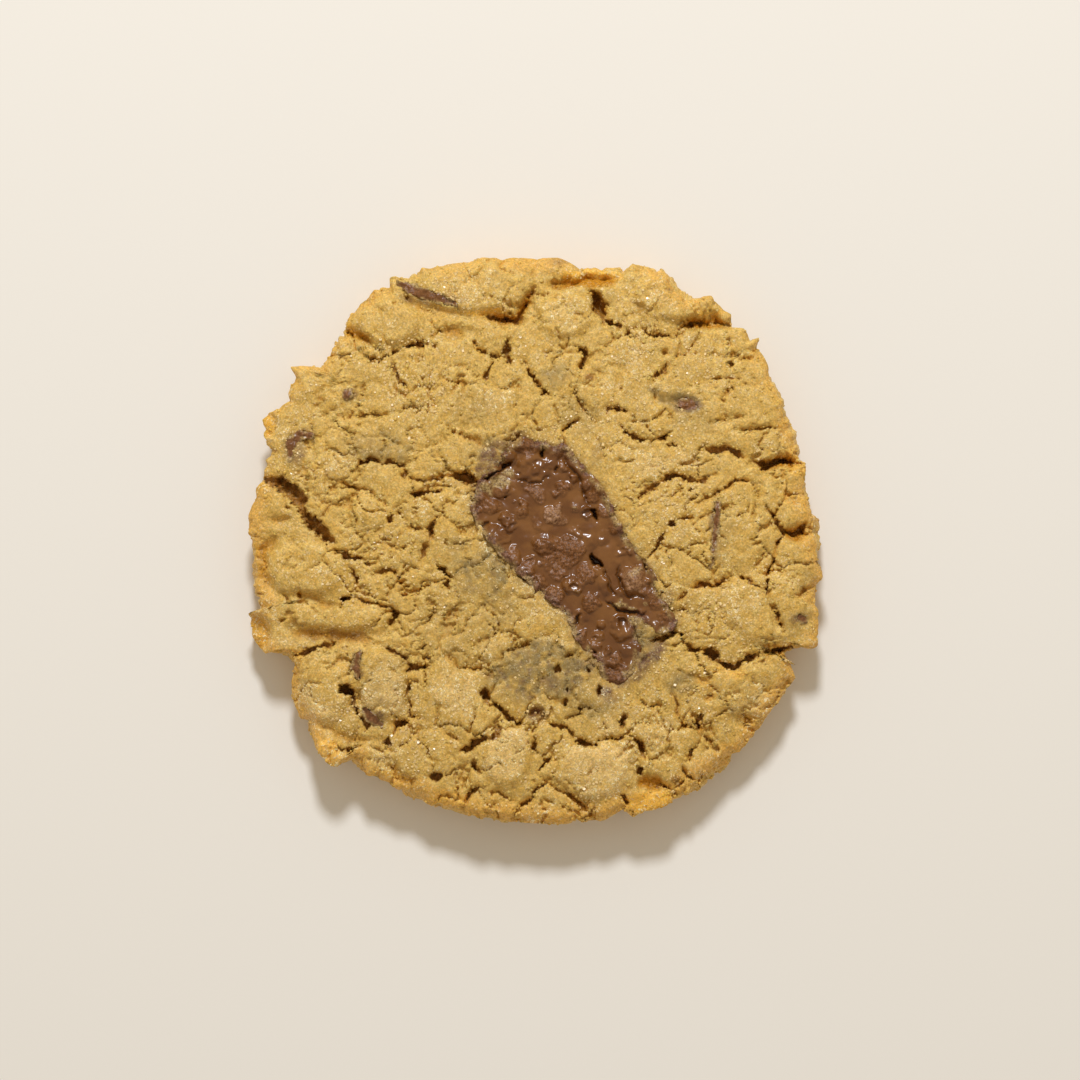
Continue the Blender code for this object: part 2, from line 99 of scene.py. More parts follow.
POCKET_CLEARANCE = 0.5        # under the chocolate
EVEN_REACH = 45.0             # how far out the rings are spread as on a round cookie
LOW_EVEN_REACH = 43.0         # the same on the underside
ROUNDED_SHARE = 0.4           # of the flank's height, below the top edge
TUCKED_SHARE = 0.45           # of the flank's height, above the underside

# The broken outer edge, counter-clockwise from the right-hand side.
RIM = [
    (45.6, -0.6), (45, 1.7), (45, 3.5), (44.4, 5.8), (43.8, 7.8), (43.1, 10.8), (42.7, 12.6), (41.9, 13.2),
    (42.2, 14.7), (42, 15.9), (41.1, 18.1), (40.2, 20.2), (40, 22.7), (39.3, 23.9), (38.3, 25.6),
    (37.2, 26.5), (36.8, 28.2), (36, 30), (35.1, 30.8), (35.6, 32.6), (34.1, 32), (33.7, 32.9), (33, 33.8),
    (31, 34), (31, 36), (29.6, 37.1), (28.1, 38), (27.8, 39.1), (26.9, 39.3), (24.4, 39.2), (23, 40.3),
    (21.5, 41.7), (21.4, 43.1), (20.4, 44), (19.6, 43.7), (15.5, 44.5), (14, 43.3), (11, 43.9), (8.3, 44.1),
    (7, 43.6), (5.4, 44.2), (3.3, 45.1), (0.1, 44.9), (-3.7, 45.1), (-5.5, 44.8), (-6.9, 45.2),
    (-10.5, 44.5), (-13.4, 44.2), (-17.7, 43.5), (-20.2, 42), (-21.6, 41.9), (-22.3, 42.2), (-23.3, 41.7),
    (-23.2, 40.2), (-25.9, 39.7), (-27.7, 38.1), (-29.5, 36.5), (-30.3, 34.9), (-30.6, 32.7), (-32.4, 32.4),
    (-33.2, 31.5), (-33.5, 29.9), (-34.5, 27.9), (-36.8, 28.2), (-39.5, 28.1), (-38.9, 26.8), (-39, 24.5),
    (-39.2, 22.4), (-40.2, 21.5), (-42.9, 20.7), (-43.6, 19.3), (-43.1, 17), (-42.6, 15.2), (-41.9, 14.8),
    (-42.5, 13.5), (-43.1, 11.9), (-43.4, 9.9), (-44.3, 8.5), (-44.8, 6.7), (-45.6, 4.7), (-45.9, 3.1),
    (-45.6, 2.2), (-46, 1.3), (-44.8, -0.1), (-44.8, -1.5), (-45.6, -3.5), (-45.6, -5.5), (-45.3, -7.4),
    (-44.7, -9.2), (-44.1, -10.9), (-46.3, -11.3), (-45.7, -13), (-44.5, -15.8), (-44, -16.9), (-43.3, -18),
    (-42.5, -17.8), (-40.5, -17.8), (-39, -18.3), (-38.7, -19.5), (-38.9, -22), (-38.9, -23.8),
    (-38.3, -26), (-37.3, -28.1), (-36, -28.3), (-35.8, -30.5), (-35, -32.5), (-34.2, -34.3),
    (-33.4, -35.5), (-32, -36.3), (-31, -35.3), (-29.5, -35), (-28.3, -36), (-27.2, -37.4), (-24.3, -38.3),
    (-23, -39.5), (-20.5, -40.5), (-18.5, -41), (-17.3, -42.3), (-15.6, -42.2), (-13, -43), (-10, -44),
    (-7, -44.6), (-3.7, -45.5), (-1, -45.3), (2, -45.2), (5, -44.7), (6.5, -44.4), (7.5, -45.2),
    (10, -45.2), (12.3, -44.7), (13.8, -43.2), (16, -43.2), (18, -43), (21, -42), (22.3, -41.2), (24, -41),
    (25.5, -40.3), (27, -39), (29.5, -37), (31, -36), (31.5, -34.3), (32.8, -34), (33.2, -33), (35, -30.5),
    (36, -29.3), (36.5, -28), (38, -26.3), (39, -25), (40, -23.2), (41.3, -21.8), (41.9, -20),
    (40.5, -19.4), (39.3, -18.3), (40, -17.3), (42, -16.7), (43.5, -17.1), (44.6, -16.8), (44.9, -14.2),
    (45, -11.4), (44.3, -8.7), (44.8, -7.1), (46, -5.8), (46.1, -4.2), (45.6, -3.3), (45.2, -1.5),
]

# Broad plates that rose above the crown, and ledges that stayed below it: x, y, half width, half depth, rise.
PLATES = [
    (-36.5, -4.5, 7.3, 4.9, 0.9), (-32, -12, 9, 2.2, 0.5), (-24.2, -22.3, 4.6, 6.6, 1.1),
    (-33.4, -23.5, 4.6, 6, 0.8), (-23.5, 35, 6, 4.2, 1.1), (-10, 40.5, 9.5, 4.8, 1),
    (22.5, 39, 8.4, 4.6, 1.2), (36.5, -10.5, 7.4, 6.2, 1), (34.5, -24, 6, 5.6, 0.9),
    (8.5, -36.5, 6.8, 5.2, 0.8), (-4.5, -34, 4.4, 5.6, 0.8), (30.5, 1, 7.5, 6.5, 0.4),
    (4.5, 36, 5, 4.2, 0.9), (-13.6, 3.6, 2.2, 5, 0.3), (34, 20, 8, 6, 0.3), (-19.5, 24.5, 2.6, 3.6, 0.4),
    (0.5, 20.5, 5, 3.2, 0.3), (-33, 24.5, 5, 4, 0.4), (-26, 5, 4, 3, 0.3), (15.8, -35.2, 1.4, 3.6, -0.3),
    (-44.8, -14.6, 3.2, 3.8, -2.4), (-41, -27, 6.5, 9, -1.4), (42, -34, 16, 16, -1),
    (-32.6, -34.2, 3.4, 3.2, 0.8), (18.5, -41.8, 4.6, 2, -0.2), (10.2, 42.6, 5, 1.5, -0.8),
    (-33.2, 31, 2.2, 2.6, -1.2), (-42.6, 18.6, 2, 2.4, -1.2), (31.6, -36.4, 4, 3.2, -1.6),
    (-45.6, -5.5, 1.6, 4.6, -1), (-22, -41, 5, 1.6, -0.7),
]

# Cracks right through the skin: width, depth, and the points each passes through.
CRACKS = [
    # upper left
    (0.5, 1.8, [(-27.3, 29.5), (-25.5, 28.6), (-24.9, 28.2), (-23.5, 29.4), (-22, 30), (-21.2, 30.5)]),
    (0.6, 2.4, [(-21.6, 30.4), (-19.8, 30.9), (-17.2, 30.9)]),
    (0.6, 2, [(-22.7, 28), (-22.2, 26.5), (-22, 25.6), (-21, 25), (-20.2, 24.4)]),
    (0.4, 1, [(-16.9, 35.7), (-16.2, 34.6), (-15.5, 33.6), (-16.9, 32.2)]),
    (0.4, 1, [(-26.8, 25.2), (-27.5, 24.2), (-27.6, 22.5), (-28.5, 21), (-29.5, 20), (-31, 19.6)]),
    (0.5, 1.1, [(-28.8, 19.9), (-26.5, 20.1), (-23, 19.9)]),
    (0.5, 0.9, [(-21, 39.5), (-20.3, 38), (-18.6, 36.8)]),
    # top middle
    (0.9, 2, [(-8.7, 35.9), (-7.5, 35.2), (-5, 35), (-3.5, 34.7), (-2.5, 35.8), (-1.7, 37.2)]),
    (0.6, 2.8, [(-1.7, 37), (-1.5, 38)]),
    (0.6, 1.2, [(-1.5, 38), (-0.2, 40.5)]),
    (1.5, 3.2, [(9, 40.2), (9.7, 38.4), (10.2, 37), (10.4, 35.8), (10.5, 34.6)]),
    (1, 2.2, [(10, 37.8), (11.5, 37.3)]),
    (0.6, 2.4, [(10.6, 35.1), (12, 34.5), (13.7, 33.8)]),
    (0.6, 1.4, [(14.7, 33.6), (14.3, 32.4)]),
    (1.1, 3, [(7.7, 31.1), (7.3, 30), (7.6, 28.8), (7, 27.3)]),
    (0.5, 1.2, [(6.8, 24.8), (6.3, 23), (7.2, 21.7), (8.3, 20.5), (9.5, 19.1)]),
    (0.8, 2.2, [(11, 20.3), (11.2, 21.3), (12.8, 21.1), (14.4, 20.7)]),
    (0.8, 2.6, [(-4.2, 32), (-4.7, 30.5), (-4.8, 29.5), (-3.9, 28.2)]),
    (0.6, 1.6, [(-4.8, 29.3), (-6.3, 29), (-7.8, 29.5), (-9, 30.2), (-10.3, 30.9)]),
    (0.5, 1.3, [(-10, 32.5), (-9.5, 31.2), (-8.8, 30.2)]),
    (0.6, 1.8, [(-6.8, 28.7), (-7.6, 27.2), (-8, 26.2), (-7.6, 25.3)]),
    (0.4, 1, [(-8, 25.9), (-10, 26.2), (-11.6, 26.2), (-12, 25.2), (-13.5, 23.2)]),
    (0.6, 2, [(-2.1, 28.3), (-1.2, 27), (-0.2, 26), (0.5, 24.8), (1.2, 23.8), (2.2, 22.9)]),
    (0.4, 0.9, [(-14.7, 18.9), (-13.2, 17.6), (-11.6, 16.4), (-9.5, 15.8), (-8.3, 15)]),
    (0.7, 2.2, [(6.5, 18.9), (5, 18.2), (4.4, 17.3), (4.2, 15.9)]),
    # upper right
    (0.6, 1.8, [(15.5, 34), (17, 33.6), (18.2, 33), (19.5, 33), (21.5, 32.5), (22.3, 33), (22.5, 33.9)]),
    (0.6, 1.4, [(22.5, 33.8), (23.8, 34.1), (25, 35), (27, 34.7), (28.5, 35), (31, 34.3)]),
    (0.5, 1.1, [(26.2, 32.4), (25, 31.3), (24.2, 30.3)]),
    (0.5, 1.2, [(22.2, 29.2), (22.8, 29.8), (24.5, 29.9), (26.3, 29.6)]),
    (0.5, 1.2, [(20.1, 30.3), (20.8, 29.4)]),
    (0.6, 1.5, [(21.1, 28.3), (20.4, 27), (19, 26.3), (18.4, 25.5)]),
    (0.3, 0.8, [(26.7, 25.5), (29.3, 25.6), (31.8, 26), (33.3, 24.9), (34.8, 24.6)]),
    (0.4, 1, [(31, 24.7), (31.4, 24), (30.3, 23.3)]),
    (0.4, 0.9, [(31, 29.6), (32.5, 28.8), (34, 28.7)]),
    (0.4, 0.9, [(30.6, 31.9), (31, 30.8)]),
    (0.4, 0.9, [(26.9, 18.2), (28.5, 19), (31, 19.5), (33, 20)]),
    (0.5, 1.1, [(31.5, 17.9), (34, 17.8), (37.5, 18), (39, 18.5)]),
    (0.7, 2.2, [(13.2, 18.2), (14.5, 17), (15.5, 16.5), (16.6, 16.1), (17.9, 16.3)]),
    (0.6, 1.6, [(19.4, 16.2), (20.7, 16.6)]),
    (0.6, 1.4, [(21, 15.4), (22.5, 15.5)]),
    # left
    (2.5, 3.6, [(-43, 9.8), (-40, 9), (-38.4, 8), (-37, 6.5), (-36.9, 5.2)]),
    (2.3, 3.6, [(-37.1, 4.9), (-35, 2.7), (-33.5, 1), (-32, 0)]),
    (0.9, 2.6, [(-31.8, -1.3), (-30.5, -2), (-29.7, -2.5), (-28.4, -2.6), (-27.3, -2.3)]),
    (0.6, 1.5, [(-29.3, -4.5), (-28.5, -6), (-28.6, -7)]),
    (0.6, 1.4, [(-28.6, -9), (-27, -9.7), (-25, -9.9), (-24, -10.2), (-22.8, -10.3)]),
    (0.8, 2.4, [(-23.2, -10.2), (-22.2, -11.2), (-22.3, -12.3), (-22.8, -13.5)]),
    (0.5, 1.2, [(-32.1, -10.6), (-32.2, -11.9)]),
    (0.8, 2.4, [(-38.3, -17.6), (-37, -17.5), (-35, -16.8), (-33, -16.5), (-31.5, -16)]),
    (0.8, 2.4, [(-28.2, 13.3), (-27.6, 12.2), (-26.9, 12.4), (-26, 13), (-25, 12.8), (-24.2, 12.3)]),
    (0.6, 1.8, [(-24.2, 12.3), (-22.5, 12.4), (-21, 12.3), (-20.3, 13)]),
    (0.5, 1.2, [(-27.8, 12), (-28.6, 11.2)]),
    (0.5, 1.4, [(-21.2, 12), (-20.9, 11.2), (-21.3, 9.8)]),
    (0.4, 1.1, [(-32, 8.9), (-30.7, 9.2), (-29.3, 8.7), (-28, 8.4), (-26.3, 7.7), (-25, 6.8),
        (-23.7, 6.6)]),
    (0.4, 1.1, [(-23.7, 6.6), (-23.5, 5.3)]),
    (0.4, 1, [(-24.3, 1.8), (-23.8, 0.8), (-23.8, -0.3), (-22.6, -0.8), (-22, -1.2), (-20, -0.9)]),
    (0.5, 1.3, [(-22, 4.8), (-21, 3.9), (-20.6, 3.2)]),
    (0.7, 2.4, [(-20.5, 7.4), (-19, 7.2), (-17.5, 7.5), (-16, 7.9), (-15, 8.5)]),
    (0.7, 2.6, [(-15.4, 4), (-16.6, 2.7), (-17.1, 1.9), (-16.9, 0.8), (-16.6, 0.1)]),
    (0.9, 1.6, [(-17.3, -0.3), (-17.3, -1.5), (-18, -2.8)]),
    (0.5, 1.1, [(-20.3, 2.2), (-18.5, 2.3), (-17.3, 2.3)]),
    (0.5, 1.4, [(-26.3, -5.3), (-24, -4.8), (-22.5, -4.5), (-21.8, -5.5), (-21.5, -6.7), (-21.4, -8)]),
    (0.5, 1.3, [(-21.4, -8), (-20.6, -8.5)]),
    (0.4, 1.1, [(-16.3, -6.4), (-17.5, -7.3), (-18.3, -7.6), (-20, -7.5)]),
    (0.5, 1.4, [(-16.8, -9), (-16.3, -10), (-16.3, -11.3), (-17, -12.7), (-18, -13.3)]),
    (0.4, 1, [(-30.8, 3.2), (-29.8, 3.9)]),
    # middle
    (0.7, 2.6, [(-15.5, -3.7), (-14.6, -4.5), (-14, -5.8), (-14, -7.5)]),
    (0.4, 0.9, [(-8, -10.5), (-6.2, -11.3), (-6, -13), (-6.2, -14), (-8, -15.5), (-10, -16.3)]),
    (0.4, 1, [(2.7, -14.4), (1, -15.3), (-0.5, -16), (-4, -17), (-5.8, -17.8), (-6, -18.7), (-7, -19.3)]),
    (0.4, 0.9, [(-14, -11.5), (-12.8, -11)]),
    (1.5, 3.4, [(-13.6, 10.7), (-11, 10.3), (-9.4, 9.4)]),
    (0.5, 1.4, [(-20.3, 9.8), (-17.6, 9.4), (-15.4, 9.9), (-13.8, 10.9)]),
    (0.6, 1.6, [(-4.9, 16.3), (-3.6, 16.2), (-2.4, 17)]),
    (0.6, 1.4, [(4.2, 15.2), (4.6, 16.2)]),
    # right
    (1.2, 2, [(26.7, 14.7), (28.5, 14.2), (30.5, 14.5), (33, 13.6)]),
    (1.3, 2.8, [(34.5, 12.8), (36.3, 12.3), (38.3, 12.4), (40.5, 12.5)]),
    (0.6, 1.6, [(16, 6.8), (17.2, 8), (18, 8.7), (19.5, 9.2)]),
    (1, 2.6, [(19.5, 9.3), (21.5, 10.2), (23.5, 10.1), (25, 9.8)]),
    (0.5, 1.5, [(25, 9.8), (25.9, 9.3), (27.3, 10.4), (28.5, 10.8)]),
    (0.5, 1.6, [(20.5, 1.8), (19.3, 0), (18.5, -1.8), (17.8, -2.7)]),
    (0.4, 0.9, [(23.2, 3.8), (25, 4.3)]),
    (0.4, 0.9, [(25.6, 3.1), (27.3, 4.3), (28.7, 5), (31, 6)]),
    (0.5, 1.5, [(25.5, 6.1), (27.5, 7), (28.7, 7.7), (30.5, 8.7), (31.5, 9.5), (33.5, 9.2), (35, 8.2),
        (35.5, 7.2)]),
    (0.6, 2.2, [(36.5, 5.5), (37.5, 4.5), (38.5, 3.2), (39.3, 1.7), (39.3, 0.5), (38.3, -0.3),
        (37.9, -1.8)]),
    (0.6, 2, [(37.9, -1.8), (37.5, -3.3), (37, -4), (36.9, -6), (36.6, -8), (37, -9.5)]),
    (0.5, 1.6, [(37, -9.5), (37.8, -10.8), (38.7, -12.5), (39.7, -14)]),
    (1.2, 2.4, [(39.5, 1.5), (41, 1.2), (42, 1.8), (42.8, 2.8)]),
    (0.6, 1.9, [(24.5, -7), (26.5, -6.9), (28, -7), (29.3, -6.6), (30.5, -5.8)]),
    (0.5, 1.4, [(30.5, -5.8), (32, -5.2), (33.5, -6), (34.5, -6.8), (35.8, -7.2)]),
    (0.5, 1.3, [(23.7, -7.5), (23.5, -8.5), (22.5, -9.3)]),
    (0.5, 1.3, [(22.5, -10.8), (23.7, -10.6)]),
    (0.5, 2, [(39.2, 9.5), (39, 8.3)]),
    (0.4, 1.2, [(40, 7.3), (41, 6)]),
    (0.4, 1.1, [(41.5, -8.2), (43.5, -7.5)]),
    (1.3, 3.4, [(18.6, -16), (19.6, -15.4), (20.8, -14.7)]),
    (0.7, 3, [(20.8, -14.7), (21.8, -14), (23, -14.7), (23.5, -15.5), (23.5, -16.3)]),
    (0.7, 2.4, [(23.5, -16.3), (25, -17), (26.5, -17.3)]),
    (2, 4.2, [(26.6, -17.3), (27.8, -17.8), (28.8, -19.2)]),
    (1, 3.2, [(28.6, -19.3), (30.5, -19.9), (31.5, -19.6), (33, -18.9), (34.3, -18.2), (36, -17.7)]),
    (1, 2.8, [(36, -17.7), (37.5, -17.3), (39, -17), (41, -16.5)]),
    # lower right
    (0.5, 1.3, [(28.2, -23.5), (27.3, -25)]),
    (0.7, 2.3, [(26.9, -26.8), (26, -28.2), (25.7, -29.5), (25.7, -30.3)]),
    (0.6, 1.7, [(25.7, -30.3), (27, -31), (27.8, -32)]),
    (0.4, 1.1, [(21.3, -23.5), (21.7, -24.5), (22.5, -26), (22.4, -27), (23.2, -28.3), (24.2, -29.3),
        (25.5, -29.6)]),
    (0.7, 1.8, [(25.5, -32.5), (24.5, -33.5), (24, -34.8)]),
    (1, 3, [(15.6, -31.3), (16.5, -32.5), (17, -33.8)]),
    (0.8, 2, [(23.3, -36), (23.5, -37), (24.8, -37.7)]),
    (0.6, 1.6, [(23.5, -38), (22.5, -38.8)]),
    (0.7, 1.6, [(20, -38.8), (21.5, -39.3)]),
    (0.5, 1.2, [(16.5, -24.5), (17.3, -25.8)]),
    (0.5, 1.4, [(18, -26.3), (19.8, -25.8)]),
    # lower left
    (0.6, 2, [(-29.8, -23.8), (-29.2, -24.5), (-28.8, -25.8), (-28.4, -27), (-27.7, -28)]),
    (0.6, 1.8, [(-27.7, -28), (-26.8, -28.6), (-26.8, -29.6)]),
    (0.7, 1.8, [(-24, -16.8), (-22.3, -17.5), (-21, -18.5), (-20.5, -19.5)]),
    (1, 2.6, [(-20.5, -19.4), (-19.5, -20.1), (-17, -20)]),
    (0.8, 1.8, [(-20.2, -22), (-19.8, -23), (-20, -24.3)]),
    (0.5, 1.5, [(-20, -24.3), (-20, -26.5), (-19.8, -27.5), (-18, -28.2)]),
    (0.9, 2.6, [(-20, -28.5), (-21.8, -29), (-22.6, -30.3)]),
    (0.7, 1.6, [(-32, -31.8), (-30.5, -32.8), (-27.3, -32.5)]),
    (0.5, 1.8, [(-17.5, -15.8), (-17.4, -17.2)]),
    (0.6, 2, [(-17.5, -18.7), (-16.7, -18.2)]),
    # bottom
    (0.4, 1.1, [(-13.5, -18.5), (-12.2, -20), (-11, -19.6), (-9.7, -19.7), (-8, -20.1), (-7.5, -21)]),
    (1, 3.2, [(-8.3, -23.3), (-8.2, -24.5), (-7.8, -25.6)]),
    (0.8, 2.2, [(-7.8, -25.6), (-6.5, -26.3), (-5, -27), (-3.8, -28), (-2.3, -28.9), (-1.5, -29)]),
    (0.6, 1.8, [(1.5, -28.9), (3, -29.3), (4.8, -29.5), (5.7, -30.3), (6, -31.3)]),
    (0.7, 2.4, [(6.2, -32.1), (7.7, -31.8), (9, -32.2), (10.3, -31.3)]),
    (0.5, 1.8, [(10.3, -31.3), (12, -31.3), (13.3, -31.2), (14.5, -30.9)]),
    (1, 3.8, [(14.3, -27.5), (13.5, -28.3), (13.5, -29.7)]),
    (0.6, 1.8, [(5, -28), (7, -27), (7.4, -26), (8.5, -26), (10, -26.8)]),
    (1.1, 2.2, [(-6, -29), (-5.8, -30.3), (-7.3, -31)]),
    (1.3, 2.8, [(-7.3, -31), (-9.8, -32), (-10.8, -32.6), (-12.2, -33.3)]),
    (0.4, 1, [(-12, -32), (-13.5, -31), (-15, -30)]),
    (0.7, 2.4, [(-0.3, -31), (-0.5, -32.3), (-0.2, -33.3)]),
    (1, 2, [(0.2, -36.1), (1.3, -34.9), (2.7, -34.7)]),
    (0.6, 1.8, [(1.2, -35), (1, -33.9)]),
    (1, 2.4, [(-9.8, -34.8), (-9.7, -36), (-8.8, -36.8)]),
    (0.7, 1.6, [(-11.8, -42), (-11, -40.3), (-9.5, -39.5), (-8, -39)]),
    (0.5, 1.2, [(-8, -39.9), (-6, -40), (-4.7, -40.8), (-3.5, -41.5)]),
    (0.8, 1.7, [(-2.5, -42.7), (-2, -41.6), (-0.5, -40.7), (0, -39.5), (1, -38.6), (2, -38)]),
    (0.5, 1.3, [(2, -37.8), (3, -38.8), (4.8, -40), (6.5, -41.3), (8, -42.7), (9.5, -43.8)]),
    (0.9, 2, [(14, -39.3), (14, -40.5), (14.8, -41.5), (14.3, -42.5)]),
    (0.4, 1, [(0.5, -22.7), (1.8, -21)]),
    (0.5, 1.2, [(4.7, -18.7), (6, -18.1), (7.5, -18.3)]),
    (0.5, 1.2, [(7.5, -18.8), (8.5, -18.8), (9.8, -18)]),
]

# Soft-walled hollows and folds between plates, where the skin only sank: width, depth, points.
FOLDS = [
    (1.5, 1.8, [(2.6, 40.4), (5, 40.8), (8, 41.6), (10.6, 41.2), (13.6, 41.2)]),
    (1.3, 1.6, [(8.8, 40.8), (9.7, 39), (10.4, 37.4), (10.6, 35.6)]),
    (1.8, 1.4, [(-30.5, 33.8), (-29, 33), (-27, 32.4), (-26.3, 31)]),
    (2, 1.2, [(22.5, 33.8), (23.8, 34.1), (25, 35), (27, 34.7), (28.5, 35), (31, 34.3)]),
    (1.8, 1.2, [(-8.7, 35.9), (-5, 35), (-3, 35.2), (-1.8, 37.2), (-0.4, 40.2)]),
    (2.2, 1.2, [(34.5, 12.8), (36.3, 12.3), (38.3, 12.4), (41.5, 12.7)]),
    (2.4, 1.2, [(39.2, 1.5), (41, 1.2), (42.4, 2.2)]),
    (2, 0.9, [(-15.5, 33.5), (-13.5, 33), (-12, 33), (-10.6, 33.1)]),
    (2.4, 1, [(-40.4, -12.6), (-38, -14.2), (-34.5, -14.7), (-31.5, -14.9), (-28.9, -14.9), (-26, -15.6),
        (-24, -16.8)]),
    (1.2, 0.6, [(-27.5, -15), (-25, -14.5), (-22.5, -14)]),
    (1.6, 0.8, [(-39.5, -9), (-37.5, -8.2), (-35.5, -8.5), (-34.5, -9.3), (-33.5, -9.9), (-31, -10)]),
    (1.6, 0.8, [(-42.7, 3.8), (-41, 3.3), (-38.5, 2.7)]),
    (1.8, 0.9, [(-40, 1.2), (-41.5, 0.3), (-43, -1), (-43.3, -5), (-42.5, -6.8), (-41, -8.5)]),
    (1.6, 0.8, [(-35.5, -28.8), (-33.8, -29.3), (-32, -30), (-29.5, -31), (-27.5, -31.3), (-24.5, -31.8)]),
    (1.8, 0.8, [(-23.8, -34.8), (-22.5, -36), (-21.8, -37.3), (-19.8, -38.2), (-18.5, -37)]),
    (1.6, 0.8, [(31.5, -27.9), (32.8, -28.2), (34.5, -28), (35.8, -28.5)]),
    (2.6, 1.4, [(16.2, -37.4), (18, -38.6), (20.5, -38.8)]),
    (1.4, 1.6, [(-1.2, -27.9), (0.2, -26.9), (1.2, -28)]),
    (1.8, 0.7, [(-20.3, 38.4), (-18, 37), (-14.6, 36.2), (-11, 35.6)]),
    (1.6, 0.6, [(24.6, 22.3), (20.6, 22.6), (17.2, 23.6)]),
    (1.4, 0.6, [(14.4, 28.8), (13.2, 26.2), (12.6, 23.4)]),
    (1.4, 0.6, [(-34.4, 27.6), (-33, 25), (-35, 21.4)]),
]

# Single holes: x, y, radius, depth.
PITS = [
    (-30.3, -23.3, 0.95, 5), (-30.2, -9, 0.6, 2.6), (-23, 3.7, 0.5, 1.8), (31, 28, 0.4, 1.4),
    (21.4, 2.9, 0.5, 2.2), (28.4, -32.8, 0.5, 0.9), (16.6, -36.6, 0.6, 2.2), (-23.8, -31.7, 0.5, 1.8),
    (-15.5, -37.2, 0.9, 2.2), (3.3, -20.4, 0.6, 1.6), (8, -20.5, 0.4, 1.4), (5.2, -23.4, 0.4, 1.4),
    (4.8, -25.4, 0.35, 1.6), (10.2, -23.5, 0.45, 2.4), (24.4, 8.7, 0.3, 0.9), (13.4, 24.2, 0.3, 0.8),
    (-26.6, -3.6, 0.3, 0.9), (-20.8, -3.8, 0.35, 0.9), (-9.9, 13.4, 0.3, 0.8), (30.2, 22, 0.3, 0.8),
]

# Where the chocolate lies in the dough: the slab's edge, counter-clockwise from its top corner, and each
# shard's width and the points along its middle.
SLAB_EDGE = [
    (4.4, 15), (2.6, 14.6), (1.2, 15.4), (-0.4, 15.6), (-1.6, 16.2), (-3.4, 15.2), (-5.2, 13.2),
    (-6.6, 11.2), (-8.8, 9.4), (-9.3, 7.4), (-10, 5.2), (-9.2, 3.4), (-8, 1.4), (-5.9, -1.2), (-3.4, -3.9),
    (-1, -6.2), (1, -8.2), (3.4, -9.9), (4.7, -11.2), (5.7, -12.8), (6, -14.2), (6.8, -15.5), (8.2, -17),
    (9.9, -18.3), (10.4, -19.6), (10.5, -21.2), (11.4, -22.4), (12.8, -22.6), (13.7, -21.8), (14.8, -20.6),
    (15.8, -19), (16.1, -16.8), (15.6, -12.6), (16.6, -11.9), (18, -13), (19.6, -14.1), (21.3, -13.7),
    (21.9, -12.6), (20.9, -11.2), (19.9, -9.5), (19, -7.5), (18.4, -5.5), (17.3, -3.6), (15.8, -1.8),
    (14.3, 0), (12.5, 3.5), (10.3, 8.2), (8.2, 10.7), (6.3, 12.7),
]
SLAB_THICKNESS = 6.0
SHARDS = [
    (1.5, [(-22, 40.9), (-20.4, 40.4), (-18.2, 39.4), (-15.4, 38.5), (-12.6, 37.6)]),
    (1.7, [(-30.1, 23.8), (-29.3, 23.1)]),
    (1.3, [(-35.6, 16.9), (-37.4, 16.8), (-38.9, 15.8), (-39.1, 12.6)]),
    (1.8, [(22.6, 22), (23.8, 21.6), (25.3, 21.2)]),
    (0.8, [(28.8, 6.3), (28.7, 4), (28.4, 1.5), (28, -1), (27.8, -4.3)]),
    (1.2, [(-27.9, -17.4), (-28.5, -18.8), (-28.5, -20.2), (-28.1, -21.8)]),
    (1.3, [(-27.1, -26.3), (-26.5, -27.6), (-25.4, -28.6), (-24.2, -29.2)]),
    (1.3, [(41.4, -11.9), (42.8, -12.5)]),
]
SHARD_THICKNESS = 2.4

# Where chocolate under the skin greys the dough: x, y, half width, half depth, strength.
GREYED = [
    (-8, -5, 6.5, 5, 0.7), (0.5, -20.5, 9.5, 5.4, 1.15), (22.7, -22.2, 2.6, 2.2, 0.8),
    (-24.3, -22.5, 4.6, 6.6, 0.2), (-33, -14.9, 6, 0.9, 0.7), (-25, 14.8, 6, 3, 0.5),
    (2.8, 26.2, 3, 2.4, 0.5), (18.8, 24.2, 2.4, 1.1, 0.8), (21.4, 23, 2.6, 1.3, 0.9),
    (24.4, 21.6, 3, 1.7, 0.9), (29.5, 1.5, 2.2, 6, 0.3), (-4.5, -10.5, 5, 3, 0.4),
    (-6.5, 14.5, 4.6, 2.6, 0.55), (-12, -0.8, 3, 3, 0.3), (17.2, -16, 2.6, 4.8, 1), (7, 20, 4, 4, 0.3),
    (-10, 21, 5, 3.5, 0.25), (9, -25.5, 5, 3, 0.5), (25, 18.6, 5, 2.2, 0.35), (24, -10.4, 3, 2, 0.3),
    (43.2, -6, 2, 2.8, 0.3), (41.6, -12, 2.6, 1.6, 0.55), (-12, -13, 8, 7, 0.22),
]

